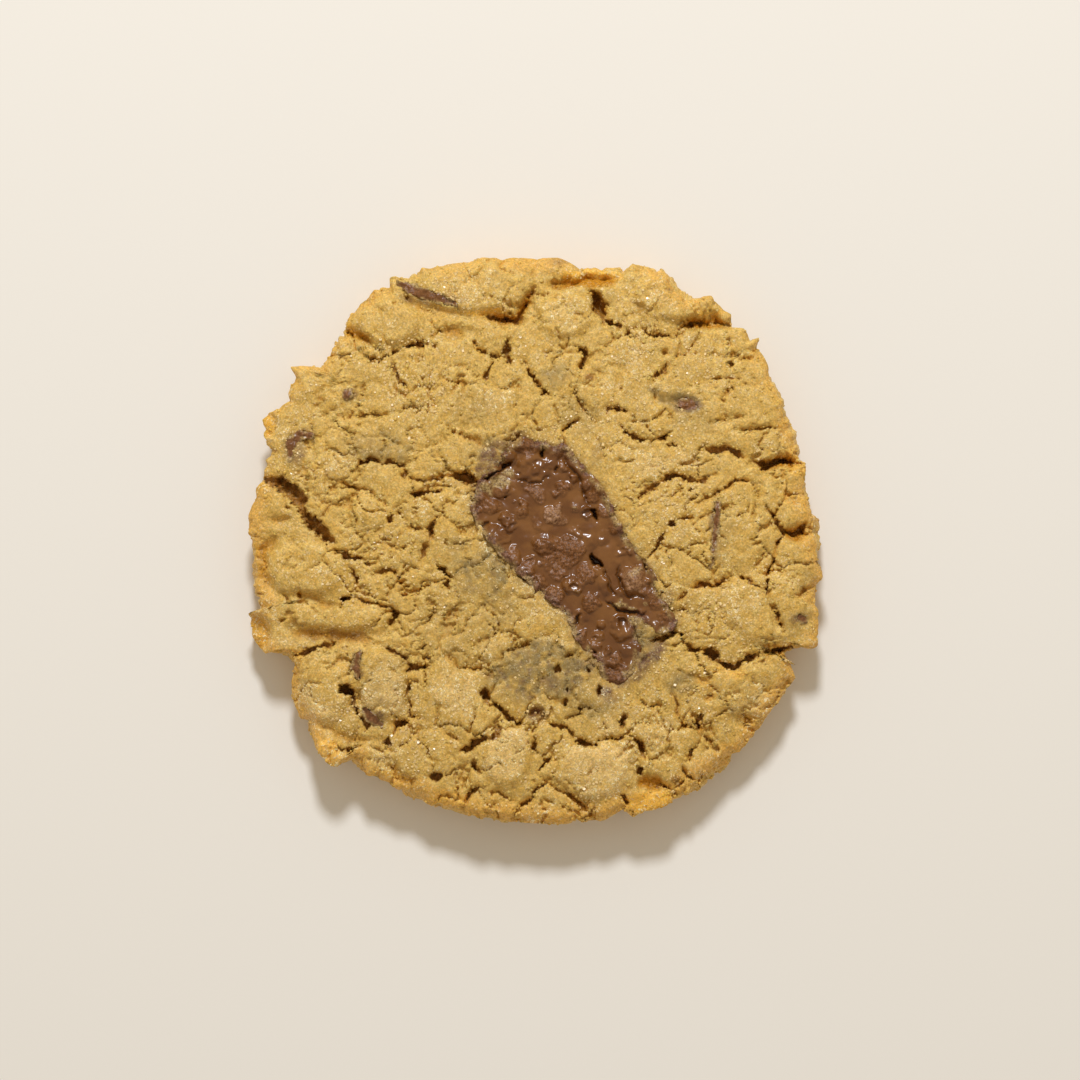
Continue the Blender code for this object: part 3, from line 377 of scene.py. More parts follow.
# Where chocolate smeared over the dough.
SMEARED = [
    (-7.3, 13.4, 2.2, 2.2, 0.8), (-8.4, 11.2, 1.5, 1.3, 0.9), (-5.2, 15.4, 2.2, 1.2, 0.8),
    (-9.6, 9, 1.2, 0.8, 0.6), (-2.6, 17, 1.8, 0.8, 0.6), (19.6, -16.8, 1.4, 1.2, 0.9),
    (18.4, -18.2, 1.4, 1.1, 0.9), (17, -19.8, 1.4, 1.2, 0.8), (15.8, -21.4, 1.2, 1, 0.7),
    (2, -22.5, 2.2, 1.2, 0.45), (8.5, -19.5, 2.4, 1.4, 0.5), (11.2, -23.6, 1.7, 1.1, 1),
    (13.8, -22.2, 1.5, 1.4, 0.7), (21, -8.6, 1.2, 2.6, 0.4), (-2, -22.5, 0.8, 0.6, 0.6),
    (-1, -24.5, 0.7, 0.6, 0.6), (0, -27.4, 2, 1.4, 0.9), (24.1, 21.5, 2.8, 1.4, 0.85),
    (-29.6, 23.3, 1.3, 1.1, 0.75), (-38.4, 14.6, 2, 3, 0.6), (-36.4, 16.9, 1.6, 0.8, 0.6),
    (-16.5, 38.6, 5.8, 1.1, 0.6), (28.2, 1.2, 0.8, 6.2, 0.6), (-28.4, -19.5, 0.9, 2.8, 0.75),
    (-25.6, -28.2, 2.2, 1.4, 0.8), (42, -12.2, 1.6, 0.9, 0.75), (-28, -14.9, 2.5, 0.6, 0.3),
    (18, -18, 2.6, 2.6, 0.3), (20.9, 40.4, 0.5, 0.4, 0.8), (44.6, 3.4, 0.8, 1.4, 0.7),
    (45.4, -8.2, 0.8, 1.2, 0.8), (4, 44.4, 2.4, 0.7, 0.6), (13, -16, 2, 4, 0.3), (9.8, 14, 1.2, 2.6, 0.3),
    (7, -19.5, 1.2, 0.6, 0.35), (-24.4, -25, 0.9, 0.6, 0.5), (12, -24.6, 2.2, 0.8, 0.5),
    (-12.6, 9.4, 2.2, 0.5, 0.2),
]

# Plates whose sugar dried to a pale frost.
FROSTED = [
    (-10, 40.5, 9.5, 4.8, 0.7), (22.5, 39, 8.4, 4.6, 0.2), (-23.5, 35, 6, 4.2, 0.2), (4.5, 36, 5, 4.2, 0.8),
    (22, 12.5, 5, 2.6, 0.6), (-33, -33.6, 3, 3, 1.2), (-4.5, -34, 4.4, 5.6, 1), (8.5, -36.5, 6.8, 5.2, 0.8),
    (34.5, -24, 6, 5.6, 0.2), (-24.3, -22.3, 4.4, 6.4, 1), (36.5, -10.5, 7.4, 6.2, 0.1),
    (-8, 24, 4, 4, 0.5), (-24, 24, 5, 4, 0.3), (30.5, 1, 6, 5, 0.2), (-10, 0.6, 3, 5, 0.3),
    (16, 30, 4, 3, 0.5), (-33.4, -23.5, 4, 5, 0.4), (-22, -34, 4.5, 3.5, 0.5), (20, -30, 3.5, 3.5, 0.4),
    (-31, 28, 4, 3, 0.5),
]

# Where the light comes through a thin lip or ledge and it glows orange-yellow.
GLOWING = [
    (18.5, -41.6, 5, 2.2, 1), (-33, -33.6, 2.8, 3.2, 0.6), (-44.4, -14.4, 2.6, 3.6, 0.65),
    (-43, 18.6, 2.2, 2.6, 0.6), (8.6, 42, 6.4, 1.3, 0.9), (-30, 33.6, 2.4, 1.6, 0.5),
    (2, -43.6, 7, 1.6, 0.35), (-14, -41, 4, 1.6, 0.35), (-24, -36.6, 4, 1.6, 0.3),
    (24, -38.4, 3, 1.6, 0.25), (-44.6, -3, 1.2, 4, 0.4), (41.5, 11.4, 2.4, 1.2, 0.5),
    (27.6, 36.4, 3.4, 1, 0.5), (-8.5, 36.4, 5, 0.7, 0.6), (31, -20.6, 4, 1, 0.5),
]

# Small bits of roasted peanut in the skin.
NUBS = [(8.4, 26, 0.9, 0.8, 0.9), (-39.8, -25.6, 0.7, 0.5, 0.6), (22, -37.6, 1, 0.8, 0.7)]


def lattice(ix, iy, iz, seed):
    """A fixed number from 0 to 1 for each point of a cubic lattice."""
    mixed = ix * np.uint32(73856093) ^ iy * np.uint32(19349663) ^ iz * np.uint32(83492791)
    mixed = mixed + np.uint32(seed * 7919 % 65521 * 2654435 % 2 ** 32)
    for shift, factor in ((15, 2246822519), (13, 3266489917)):
        mixed = (mixed ^ (mixed >> np.uint32(shift))) * np.uint32(factor)
    return (mixed ^ (mixed >> np.uint32(16))).astype(np.float32) / np.float32(2 ** 32)


LATTICE_START = 100.0         # keeps every lattice point above zero
TURN = np.array([[0.36, 0.48, -0.8], [-0.8, 0.6, 0.0], [0.48, 0.64, 0.6]], np.float32)


def waves(places, size, octaves, seed):
    """Rough noise from about -1 to 1 whose largest lumps are as wide as the size, each octave half the last.
    The seed, here and in cells, keeps a pattern the same in every run and unlike the others."""
    total = np.zeros(len(places), np.float32)
    weight, weights = 1.0, 0.0
    turned = places.astype(np.float32)
    for octave in range(octaves):
        turned = turned @ TURN
        at = turned * (2 ** octave / size) + LATTICE_START
        low = np.floor(at)
        share = at - low
        share = share * share * share * (share * (share * 6 - 15) + 10)
        x, y, z = low.astype(np.int64).astype(np.uint32).T
        share_x, share_y, share_z = share.T
        corner = {}
        for dx in (0, 1):
            for dy in (0, 1):
                over = x + np.uint32(dx), y + np.uint32(dy)
                near, far = (lattice(*over, z + np.uint32(dz), seed + octave) for dz in (0, 1))
                corner[dx, dy] = near + (far - near) * share_z
        left, right = (corner[dx, 0] + (corner[dx, 1] - corner[dx, 0]) * share_y for dx in (0, 1))
        total += weight * (left + (right - left) * share_x - 0.5) * 2.6
        weights += weight
        weight *= 0.5
    return total / weights ** 0.5


def cells(places, size, seed):
    """About the nearest of scattered crumb middles: how far it is, how far the next one is, its number, and
    the way to it."""
    at = places.astype(np.float32) / size + LATTICE_START
    low = np.floor(at)
    first = np.full(len(at), 9.0, np.float32)
    second = first.copy()
    number = np.zeros(len(at), np.float32)
    way = np.zeros(at.shape, np.float32)
    for step in np.ndindex(3, 3, 3):
        corner = low + np.subtract(step, 1)
        x, y, z = corner.astype(np.int64).astype(np.uint32).T
        centre = corner + np.stack([lattice(x, y, z, seed + k) for k in range(3)], 1)
        gap = np.sqrt(((centre - at) ** 2).sum(1))
        closer = gap < first
        second = np.where(closer, first, np.minimum(second, gap))
        number = np.where(closer, lattice(x, y, z, seed + 9), number)
        way = np.where(closer[:, None], centre - at, way)
        first = np.where(closer, gap, first)
    return first * size, second * size, number, way * size


def smooth(share):
    """Eased from 0 to 1."""
    share = np.clip(share, 0.0, 1.0)
    return share * share * (3 - 2 * share)


def fading(past, over):
    """From 1 at a bank down towards 0 beyond it."""
    return np.exp(-np.maximum(past, 0) / over)


def flat_places(x, y, level=0.0):
    return np.stack([x, y, np.full(x.shape, level)], 1)


def patches(x, y, spots):
    """The strongest of some soft-edged oval patches at each place."""
    strongest = np.zeros(x.shape, np.float32)
    for spot_x, spot_y, half_width, half_depth, strength in spots:
        share = np.hypot((x - spot_x) / half_width, (y - spot_y) / half_depth)
        strongest = np.maximum(strongest, strength * smooth((1.15 - share) * 1.6))
    return strongest


def to_line(x, y, start, end):
    """Where on a straight line the point nearest to each place lies, as a share, and how far away it is."""
    (x0, y0), (x1, y1) = start, end
    share = np.clip(((x - x0) * (x1 - x0) + (y - y0) * (y1 - y0)) / math.dist(start, end) ** 2, 0, 1)
    return share, np.hypot(x - x0 - share * (x1 - x0), y - y0 - share * (y1 - y0))


def edge_distance(x, y, lines, reach, wall=WALL):
    """For each place, how far it is past the bank of the nearest line, and how far down the lines cut there.
    """
    beyond = np.full(x.shape, reach, np.float32)
    depth_here = np.zeros(x.shape, np.float32)
    for width, depth, points in lines:
        length = sum(math.dist(a, b) for a, b in zip(points, points[1:]))
        margin = reach + width
        run = 0.0
        for start, end in zip(points, points[1:]):
            near = np.ones(x.shape, bool)
            for at, from_at, to_at in zip((x, y), start, end):
                near &= (at > min(from_at, to_at) - margin) & (at < max(from_at, to_at) + margin)
            at = np.nonzero(near)[0]
            share, away = to_line(x[at], y[at], start, end)
            step = math.dist(start, end)
            along = (run + share * step) / length
            taper = 0.4 + 0.6 * smooth(np.minimum(along, 1 - along) * 4)
            past = away - BANK * width * taper
            beyond[at] = np.minimum(beyond[at], past)
            depth_here[at] = np.maximum(depth_here[at], depth * taper * smooth(0.5 - past / wall))
            run += step
    return beyond, depth_here


def inside_by(x, y, outline):
    """How far each place is inside a closed outline, and below zero outside it."""
    nearest = np.full(x.shape, 99.0)
    within = np.zeros(x.shape, bool)
    for (x0, y0), (x1, y1) in zip(outline, outline[1:] + outline[:1]):
        nearest = np.minimum(nearest, to_line(x, y, (x0, y0), (x1, y1))[1])
        if y0 != y1:
            crosses = (y > min(y0, y1)) & (y <= max(y0, y1))
            within ^= crosses & (x < x0 + (y - y0) * (x1 - x0) / (y1 - y0))
    return np.where(within, nearest, -nearest)


def divided(points, closed, spacing):
    """Points along a line, no further apart than the spacing."""
    result = []
    ends = points[1:] + points[:1] if closed else points[1:]
    for (x0, y0), (x1, y1) in zip(points, ends):
        count = max(1, round(math.dist((x0, y0), (x1, y1)) / spacing))
        result += [(x0 + (x1 - x0) * k / count, y0 + (y1 - y0) * k / count) for k in range(count)]
    return result if closed else result + [points[-1]]


def ribbon(width, points):
    """The closed outline of a line as wide as that, narrower towards its ends, counter-clockwise."""
    line = np.array(divided(points, closed=False, spacing=0.5))
    ways = np.gradient(line, axis=0)
    normals = np.stack([ways[:, 1], -ways[:, 0]], 1) / np.linalg.norm(ways, axis=1, keepdims=True)
    share = np.linspace(0, 1, len(line))[:, None]
    half = width / 2 * (0.45 + 0.55 * np.sin(math.pi * np.clip(share * 1.1, 0.02, 0.98)))
    right, left = line + half * normals, line - half * normals
    return [tuple(p) for p in np.concatenate([right, left[::-1]])]


def under_top(height):
    """Heights that level off just below the cookie's highest point."""
    bend = cad_high.z / MM - TOP_CLEARANCE - LEVELLING
    over = np.maximum(height - bend, 0)
    return np.minimum(height, bend) + LEVELLING * np.tanh(over / LEVELLING)


def crown_height(x, y):
    """The baked surface before it cracked: a low crown with raised plates and sunken ledges."""
    out = np.minimum(np.hypot(x / HALF_WIDTH, y / HALF_DEPTH), 1.0)
    height = SHOULDER_HEIGHT + (CENTRE_HEIGHT - SHOULDER_HEIGHT) * (1 - out ** CROWN_POWER)
    for plate_x, plate_y, half_width, half_depth, rise in PLATES:
        share = np.hypot((x - plate_x) / half_width, (y - plate_y) / half_depth)
        height = height + rise * smooth((1 - share) * PLATE_STEEPNESS)
    return height


def rim_radius(angles):
    """How far out the broken edge lies at each angle."""
    corners = np.array(RIM)
    turns = np.maximum.accumulate(np.unwrap(np.arctan2(corners[:, 1], corners[:, 0])))
    return np.interp(angles % math.tau, turns % math.tau, np.hypot(*corners.T), period=math.tau)


def shape_top(x, y, to_edge):
    """Height and tones of the cracked skin. to_edge is how far each place is inside the rim."""
    flat = flat_places(x, y)

    # Cracks run between crumbs, so each place looks them up from its crumb's middle.
    _, _, _, way = cells(flat, CRUMB, 17)
    torn = flat + 0.5 * way
    _, _, _, way = cells(torn, CLOD, 19)
    ragged = torn + 0.42 * way
    sway = SWAY * np.stack([waves(flat, SWAY_LENGTH, 2, seed) for seed in (11, 23)], 1)
    sway_x, sway_y = sway.T
    ragged_x, ragged_y = ragged[:, 0] + sway_x, ragged[:, 1] + sway_y
    past_crack, crack_depth = edge_distance(ragged_x, ragged_y, CRACKS, reach=2.4)
    past_fold, fold_depth = edge_distance(
        x + 1.4 * sway_x, y + 1.4 * sway_y, FOLDS, reach=1.6, wall=1.5
    )
    swayed = torn + np.concatenate([2.6 * sway, np.zeros((len(x), 1))], 1)

    # Hairline cracks: the borders of wandering flakes, of which only some opened.
    near, far, flake_number, _ = cells(swayed, FLAKE, 31)
    flake_in = far - near
    greyed = patches(x + 2 * sway_x, y + 2 * sway_y, GREYED)
    drifted_x, drifted_y = x + 4.0 * sway_x, y + 4.0 * sway_y
    calm = patches(drifted_x, drifted_y, [(*place, 1.0) for *place, rise in PLATES if rise > 0.5])
    opened = smooth(waves(flat, 5.0, 2, 41) * 1.6 + 0.35) * (1 - 0.6 * greyed) * (1 - 0.4 * calm)
    crazed = smooth(waves(flat, 7.0, 2, 43) * 1.6 - 0.2) * (1 - 0.6 * greyed) * (1 - 0.4 * calm)
    near, far, small_number, _ = cells(swayed + 40, CRAZING, 37)
    hair = np.maximum(
        opened * HAIR_DEPTH * smooth(1.25 - flake_in / HAIR_WIDTH),
        crazed * CRAZING_DEPTH * smooth(1.2 - (far - near) / CRAZING_WIDTH),
    )
    domed = 0.24 * (smooth(flake_in / 0.9) - 0.8) + 0.08 * (smooth((far - near) / 0.6) - 0.8)

    # Small pores and torn spots.
    near, _, number, _ = cells(ragged + 7.0, PORES, 53)
    hole = (number > 0.84) * smooth(1 - near / (0.15 + 1.0 * (number - 0.8)))
    hole = hole * (0.35 + 0.65 * (waves(flat, 4.0, 2, 59) > 0))
    pit_depth = np.zeros(x.shape, np.float32)
    for pit_x, pit_y, radius, depth in PITS:
        away = np.hypot(ragged_x - pit_x, ragged_y - pit_y)
        pit_depth = np.maximum(pit_depth, depth * smooth((radius * 1.25 - away) / (0.5 * radius)))

    skin_level = crown_height(x, y)
    crumbly = 0.7 - 0.1 * calm + 0.5 * fading(past_crack, 0.9) + 0.5 * smooth(1 - to_edge / 4.0)
    height = skin_level + UNEVENNESS * waves(flat, 7.0, 2, 61) + 0.045 * crumbly * waves(flat, 2.8, 3, 67)
    height += (1 - 0.5 * greyed) * (1 - 0.4 * calm) * 0.65 * domed
    height += 0.28 * opened * (flake_number - 0.5) + 0.14 * crazed * (small_number - 0.5)
    lumps, _, number, _ = cells(swayed + 11, LUMPS, 71)
    height += crumbly * (0.05 * (0.45 - lumps) + 0.035 * (number - 0.5))
    grains, _, number, _ = cells(flat + 13, SAND_GRAIN, 73)
    height += crumbly * 0.15 * (0.26 - grains) * (0.6 + 0.8 * number) + 0.05 * waves(flat, 0.5, 2, 79)
    height -= BANK_SAG * fading(past_crack, 0.4) + 0.22 * fading(past_crack, 1.3)
    height -= 0.25 * fading(past_fold, 0.8)
    height -= RIM_DROOP * smooth(1 - to_edge / RIM_DROOP_WIDTH) ** 1.5 * (1 - 0.7 * patches(x, y, GLOWING))
    height -= fold_depth + hair + 0.8 * hole
    height = height - np.maximum(crack_depth * (0.7 + 0.25 * waves(flat, 1.2, 2, 83)), pit_depth)
    nubs = patches(x, y, NUBS)
    height = under_top(height + 0.25 * nubs)

    # Room for the chocolate, whose edge the crumbs follow too.
    slab_in = inside_by(x + 0.5 * (ragged[:, 0] - x) + 0.5 * sway_x, y + 0.5 * (ragged[:, 1] - y), SLAB_EDGE)
    floor = skin_level - SLAB_THICKNESS - POCKET_CLEARANCE
    height += (floor - height) * smooth(slab_in / 0.35)
    height -= 0.5 * fading(-slab_in, 0.7) * (slab_in < 0)
    for width, points in SHARDS:
        near = np.nonzero(np.hypot(x - points[0][0], y - points[0][1]) < 14)[0]
        near_x, near_y = 0.4 * x[near] + 0.6 * ragged[near, 0], 0.4 * y[near] + 0.6 * ragged[near, 1]
        shard_in = inside_by(near_x, near_y, ribbon(width, points))
        height[near] -= (SHARD_THICKNESS + 0.4) * smooth(shard_in / 0.25)
    cut = smooth(crack_depth / 2.0)
    frosted = patches(drifted_x, drifted_y, FROSTED)
    tones = {
        # painted shade: dark brown at the bottom of cracks and pits; the peanut nubs' brown is their own
        "deep_shade_and_nuts": np.maximum.reduce([cut, smooth(pit_depth / 1.6), nubs]),
        # painted shade: orange on crack banks and in folds, hairlines and pores
        "hollow_shade": fading(past_crack, 0.25) * 0.35 + smooth(fold_depth / 1.4) * 0.9 + hair * 0.5 + hole * 0.4,
        "grey": greyed * (0.8 + 0.8 * waves(flat, 1.0, 3, 91)),
        "smear": np.maximum.reduce([
            patches(ragged_x, ragged_y, SMEARED) * (1.0 + 0.6 * waves(flat, 0.9, 3, 97)),
            0.5 * greyed * smooth(2.6 * waves(flat, 0.8, 3, 93) - 0.6),
            (0.9 + 0.5 * waves(flat, 1.6, 2, 95)) * fading(-slab_in, 0.6),
        ]),
        # baked gold by rim and cracks; its y factor is painted light on the south side, away from the light
        "gold": 0.05 + (0.95 - 0.4 * y / 45) * smooth(1 - to_edge / 5.0) + 0.3 * waves(flat, 9.0, 2, 101)
            - 0.2 * frosted + 0.4 * fading(past_crack, 0.8) + 0.2 * opened * fading(flake_in, 0.5),
        "glow": patches(x + sway_x, y + sway_y, GLOWING) * (0.9 + 0.3 * waves(flat, 1.5, 2, 99)),
        # pale dried sugar; its -0.2 * y / 45 part is painted light, paler to the south, away from the light
        "frost_and_painted_light": 0.25 + 0.5 * waves(flat, 5.0, 3, 103) + 0.2 * (height - skin_level) + 0.3 * (number - 0.5)
            + 0.3 * (flake_number - 0.5) + 0.75 * frosted - 0.3 * greyed - 0.2 * y / 45
            - 0.4 * fading(past_crack, 1.2),
        "loose": fading(np.abs(past_crack), 0.6) * 0.9 + smooth(fold_depth) * 0.6 + 0.10
            + 0.3 * (to_edge < 2.0),
        "sugared": smooth(0.5 + waves(flat, 6.0, 2, 149) + 0.8 * (height - skin_level)) * (slab_in < 0)
            * (cut < 0.2) * (1 - 0.8 * np.minimum(greyed, 1)),
    }
    return height, tones


def disc_points(rings):
    """A square grid bent into rings: each point's ring as a share of the outermost, and its angle."""
    steps = np.arange(-rings, rings + 1, dtype=float)
    i, j = np.meshgrid(steps, steps, indexing="ij")
    ring = np.maximum(np.abs(i), np.abs(j))
    quarter = math.pi / 4
    along_x = quarter * j / np.where(i == 0, 1, i) + math.pi * (i < 0)
    along_y = math.pi / 2 - quarter * i / np.where(j == 0, 1, j) + math.pi * (j < 0)
    return (ring / rings).ravel(), np.where(np.abs(i) >= np.abs(j), along_x, along_y).ravel()


def disc_faces(rings, facing_up):
    side = 2 * rings + 1
    index = np.arange(side * side).reshape(side, side)
    faces = np.stack([index[:-1, :-1], index[1:, :-1], index[1:, 1:], index[:-1, 1:]], -1).reshape(-1, 4)
    return faces if facing_up else faces[:, ::-1]


def disc_border(rings):
    """The outermost ring's point numbers, counter-clockwise."""
    side = 2 * rings + 1
    index = np.arange(side * side).reshape(side, side)
    return np.concatenate([index[-1, :-1], index[::-1, -1][:-1], index[0, ::-1][:-1], index[:-1, 0]])


def placed(points):
    """Points in millimetres about the outlines' middle, as places in metres about the origin."""
    return (points - (MIDDLE[0], MIDDLE[1], 0.0)) * MM


def new_piece(name, mesh):
    piece = bpy.data.objects.new(name, mesh)
    bpy.context.collection.objects.link(piece)
    return piece


def plain_mesh(piece):
    """The mesh that the piece's modifiers leave. The piece itself is removed."""
    mesh = bpy.data.meshes.new_from_object(piece.evaluated_get(bpy.context.evaluated_depsgraph_get()))
    bpy.data.objects.remove(piece)
    return mesh


def add_tones(mesh, tones):
    for name, values in tones.items():
        layer = mesh.attributes.new(name, "FLOAT", "POINT")
        layer.data.foreach_set("value", np.clip(values, 0, 1).astype(np.float32))


def make_dough():
    """The whole dough: the cracked skin, the torn flank and the underside, joined into one closed mesh."""
    share, angle = disc_points(RINGS)
    cosine, sine = np.cos(angle), np.sin(angle)
    border = disc_border(RINGS)
    edge_places = flat_places(EVEN_REACH * cosine, EVEN_REACH * sine)
    crumbs, _, number, _ = cells(edge_places, 1.3, 115)
    jagged = 0.3 + 1.0 * smooth(0.5 + waves(edge_places, 9.0, 2, 5))
    wide = rim_radius(angle) + RIM_CRUMBS + 0.2 * waves(edge_places, 3.0, 2, 3)
    wide += jagged * (0.22 * waves(edge_places, 1.2, 3, 4) + 0.45 * (0.4 - crumbs) + 0.12 * (number - 0.5))
    ledges = patches(*edge_places[:, :2].T, [
        (x, y, 1.3 * half_width, 1.3 * half_depth, strength)
        for x, y, half_width, half_depth, strength in GLOWING
    ])
    lip = RIM_ROUND * (0.5 + 1.5 * smooth(0.2 + 0.9 * waves(edge_places, 13.0, 2, 7) - 0.1 * sine))
    lip *= 1 - 0.7 * ledges
    for half, way in zip(((cad_high - cad_low) / MM / 2)[:2], (cosine, sine)):
        wide = np.minimum(wide, (half + 0.1 * way) / np.maximum(np.abs(way), 1e-6))
    radius = share * (EVEN_REACH + (wide - lip - EVEN_REACH) * share ** 4)
    x, y = radius * cosine, radius * sine
    height, tones = shape_top(x, y, wide - lip - radius + 0.4)
    top = np.stack([x, y, height], 1)

    # The flank, row by row from the top edge down to the flat underside.
    turn, outer, outer_lip = angle[border], wide[border], lip[border]
    evened = sum(np.roll(outer, step) for step in range(-12, 13)) / 25
    low_outer = np.minimum(outer, evened - 0.3)
    rows, crevices = [], []
    for row in range(1, FLANK_ROWS + 1):
        down = row / FLANK_ROWS
        rounded = max(0.0, 1 - down / ROUNDED_SHARE) ** 1.6
        tucked = max(0.0, (down - (1 - TUCKED_SHARE)) / TUCKED_SHARE) ** 1.8
        inset = outer_lip * rounded + BASE_INSET * tucked
        level = height[border] * (1 - down)
        around = np.stack([outer * np.cos(turn), outer * np.sin(turn), level], 1)
        lump = 0.8 * waves(around, 4.2, 2, 107) + 0.34 * waves(around, 1.4, 3, 109)
        _, _, _, way = cells(around, 0.9, 117)
        near, far, _, _ = cells((around + 0.6 * way) * (1, 1, 1.6), 4.8, 113)
        crevice = 0.9 * smooth(1.6 * waves(around, 6.0, 2, 119) + 0.1) * smooth(1 - (far - near) / 0.45)
        crumbs, _, number, _ = cells(around, 1.5, 115)
        lump += 0.4 * (0.4 - crumbs) + 0.2 * (number - 0.5)
        crumbs, _, number, _ = cells(around, 0.75, 121)
        lump += 0.5 * (0.25 - crumbs) * (0.4 + number)
        ease = math.sin(math.pi * min(1.0, down * 1.08)) ** 0.7
        pull = np.minimum(0.0, lump - 0.5) * ease - crevice * ease
        reach = outer + (low_outer - outer) * smooth(2.5 * down) - inset + pull
        rows.append(np.stack([reach * np.cos(turn), reach * np.sin(turn), level], 1))
        crevices.append(smooth(crevice) * ease)
    flank = np.concatenate(rows)

    # The underside lies flat on the tray, with the small pits that steam left.
    reach = np.interp(angle, turn, np.hypot(*rows[-1][:, :2].T), period=math.tau)
    radius = share * (LOW_EVEN_REACH + (reach - LOW_EVEN_REACH) * share ** 4)
    low_x, low_y = radius * cosine, radius * sine
    low_flat = flat_places(low_x, low_y, 50.0)
    near, _, number, _ = cells(low_flat, 1.9, 127)
    pocks = (number > 0.72) * smooth(1 - near / (0.2 + 1.1 * (number - 0.7))) * 0.5
    lift = np.maximum(0, 0.10 * waves(low_flat, 6.0, 3, 131)) + pocks
    lift = lift * smooth((1 - share) * 12)
    bottom = np.stack([low_x, low_y, lift], 1)

    # Join the three: the flank shares the top's outermost ring above and the underside's below.
    columns = len(border)
    inner = np.ones(len(bottom), bool)
    inner[border] = False
    ring_above = border
    faces = [disc_faces(RINGS, True)]
    for row in range(FLANK_ROWS):
        ring_below = len(top) + row * columns + np.arange(columns)
        faces.append(np.stack([ring_above, ring_below, np.roll(ring_below, -1), np.roll(ring_above, -1)], 1))
        ring_above = ring_below
    place_below = np.empty(len(bottom), int)
    place_below[border] = ring_above
    place_below[inner] = len(top) + len(flank) + np.arange(inner.sum())
    faces = np.concatenate([*faces, place_below[disc_faces(RINGS, False)]])
    points = np.concatenate([top, flank, bottom[inner]])
    mesh = bpy.data.meshes.new("dough")
    mesh.vertices.add(len(points))
    mesh.vertices.foreach_set("co", placed(points).astype(np.float32).ravel())
    mesh.loops.add(faces.size)
    mesh.loops.foreach_set("vertex_index", faces.astype(np.int32).ravel())
    mesh.polygons.add(len(faces))
    mesh.polygons.foreach_set("loop_start", np.arange(0, faces.size, 4, dtype=np.int32))
    mesh.update(calc_edges=True)

    # Each tone on the flank and on the underside. Crevices in the flank and pocks in the underside get
    # painted shade, and thin ledges glow on the flank too, as painted light.
    down = np.repeat(np.arange(1, FLANK_ROWS + 1) / FLANK_ROWS, columns)
    crevice = np.concatenate(crevices)
    smeared = patches(*flank[:, :2].T, SMEARED) * (1 - down) * 0.8
    uneven = waves(flank, 3.0, 3, 137)
    tones["browned"] = 0 * height
    for name, on_flank, on_bottom in (
        ("deep_shade_and_nuts", crevice * 0.25, 0),
        ("hollow_shade", 0.1 + 0.6 * crevice, pocks[inner]),
        ("grey", smeared * 0.4, 0),
        ("smear", smeared, 0),
        ("gold", 0.6 + 0.3 * uneven, 0.6),
        ("glow", patches(*flank[:, :2].T, GLOWING) * (1 - down), 0),
        ("frost_and_painted_light", 0.25 + 0.3 * uneven, 0),
        ("loose", 0.3 * (1 - down), 0),
        ("sugared", 0.25 * (1 - down), 0),
        ("browned", smooth((down - 0.8) / 0.2) * 0.8, 0.75 + 0.35 * waves(bottom[inner], 9.0, 3, 139)),
    ):
        tones[name] = np.concatenate([tones[name], on_flank, np.zeros(inner.sum()) + on_bottom])
    add_tones(mesh, tones)
    dense = new_piece("dough_dense", mesh)
    dense.modifiers.new("thin", "DECIMATE").ratio = DOUGH_FACETS / (2 * len(mesh.polygons))
    finished = plain_mesh(dense)
    finished.name = "dough"
    finished.polygons.foreach_set("use_smooth", [True] * len(finished.polygons))
    return new_piece("baked_dough", finished)


def linear(hex_colour):
    """An sRGB hex colour as the linear colour that a shader takes."""
    shares = [int(hex_colour[i:i + 2], 16) / 255 for i in (0, 2, 4)]
    return tuple(s / 12.92 if s <= 0.04045 else ((s + 0.055) / 1.055) ** 2.4 for s in shares) + (1.0,)


def wire(tree, node, inputs):
    """Sets a node's inputs to values, or joins them to other nodes' sockets."""
    for socket, value in inputs.items():
        if isinstance(value, bpy.types.NodeSocket):
            tree.links.new(value, node.inputs[socket])
        else:
            node.inputs[socket].default_value = value


def add(tree, kind, inputs=None, out=0, **settings):
    """Adds a node of that kind with its settings and its inputs, and gives one of its outputs, or itself."""
    node = tree.nodes.new(kind)
    for key, value in settings.items():
        setattr(node, key, value)
    wire(tree, node, inputs or {})
    return node if out is None else node.outputs[out]


def amount(tree, *masks):
    """How much of a finish shows: masks multiplied together. One that is given as (mask, low, high, least,
    most) is eased from least to most while it rises from low to high."""
    shown = None
    for mask in masks:
        if isinstance(mask, tuple):
            mask = add(tree, "ShaderNodeMapRange", dict(enumerate(mask)), interpolation_type="SMOOTHSTEP")
        if shown is None:
            shown = mask
        else:
            shown = add(tree, "ShaderNodeMath", {0: shown, 1: mask}, operation="MULTIPLY")
    return shown


def painted(tree, colour, *layers):
    """A colour with layers over it, the last on top: each a shade or a colour socket, and its masks."""
    for shade, *masks in layers:
        over = linear(shade) if isinstance(shade, str) else shade
        inputs = {0: amount(tree, *masks), 6: colour, 7: over}
        colour = add(tree, "ShaderNodeMix", inputs, out=2, data_type="RGBA")
    return colour


def laid_by(tree, tones, noises):
    """What a piece's material goes by: its own places, then its tones by name, then noise patterns from
    the width of their lumps, their detail and their roughness."""
    where = add(tree, "ShaderNodeTexCoord", out="Object")
    found = [add(tree, "ShaderNodeAttribute", out="Fac", attribute_name=name) for name in tones]
    for lumps, detail, roughness in noises:
        inputs = {"Vector": where, "Scale": 1 / (lumps * MM), "Detail": detail, "Roughness": roughness}
        found.append(add(tree, "ShaderNodeTexNoise", inputs))
    return where, *found


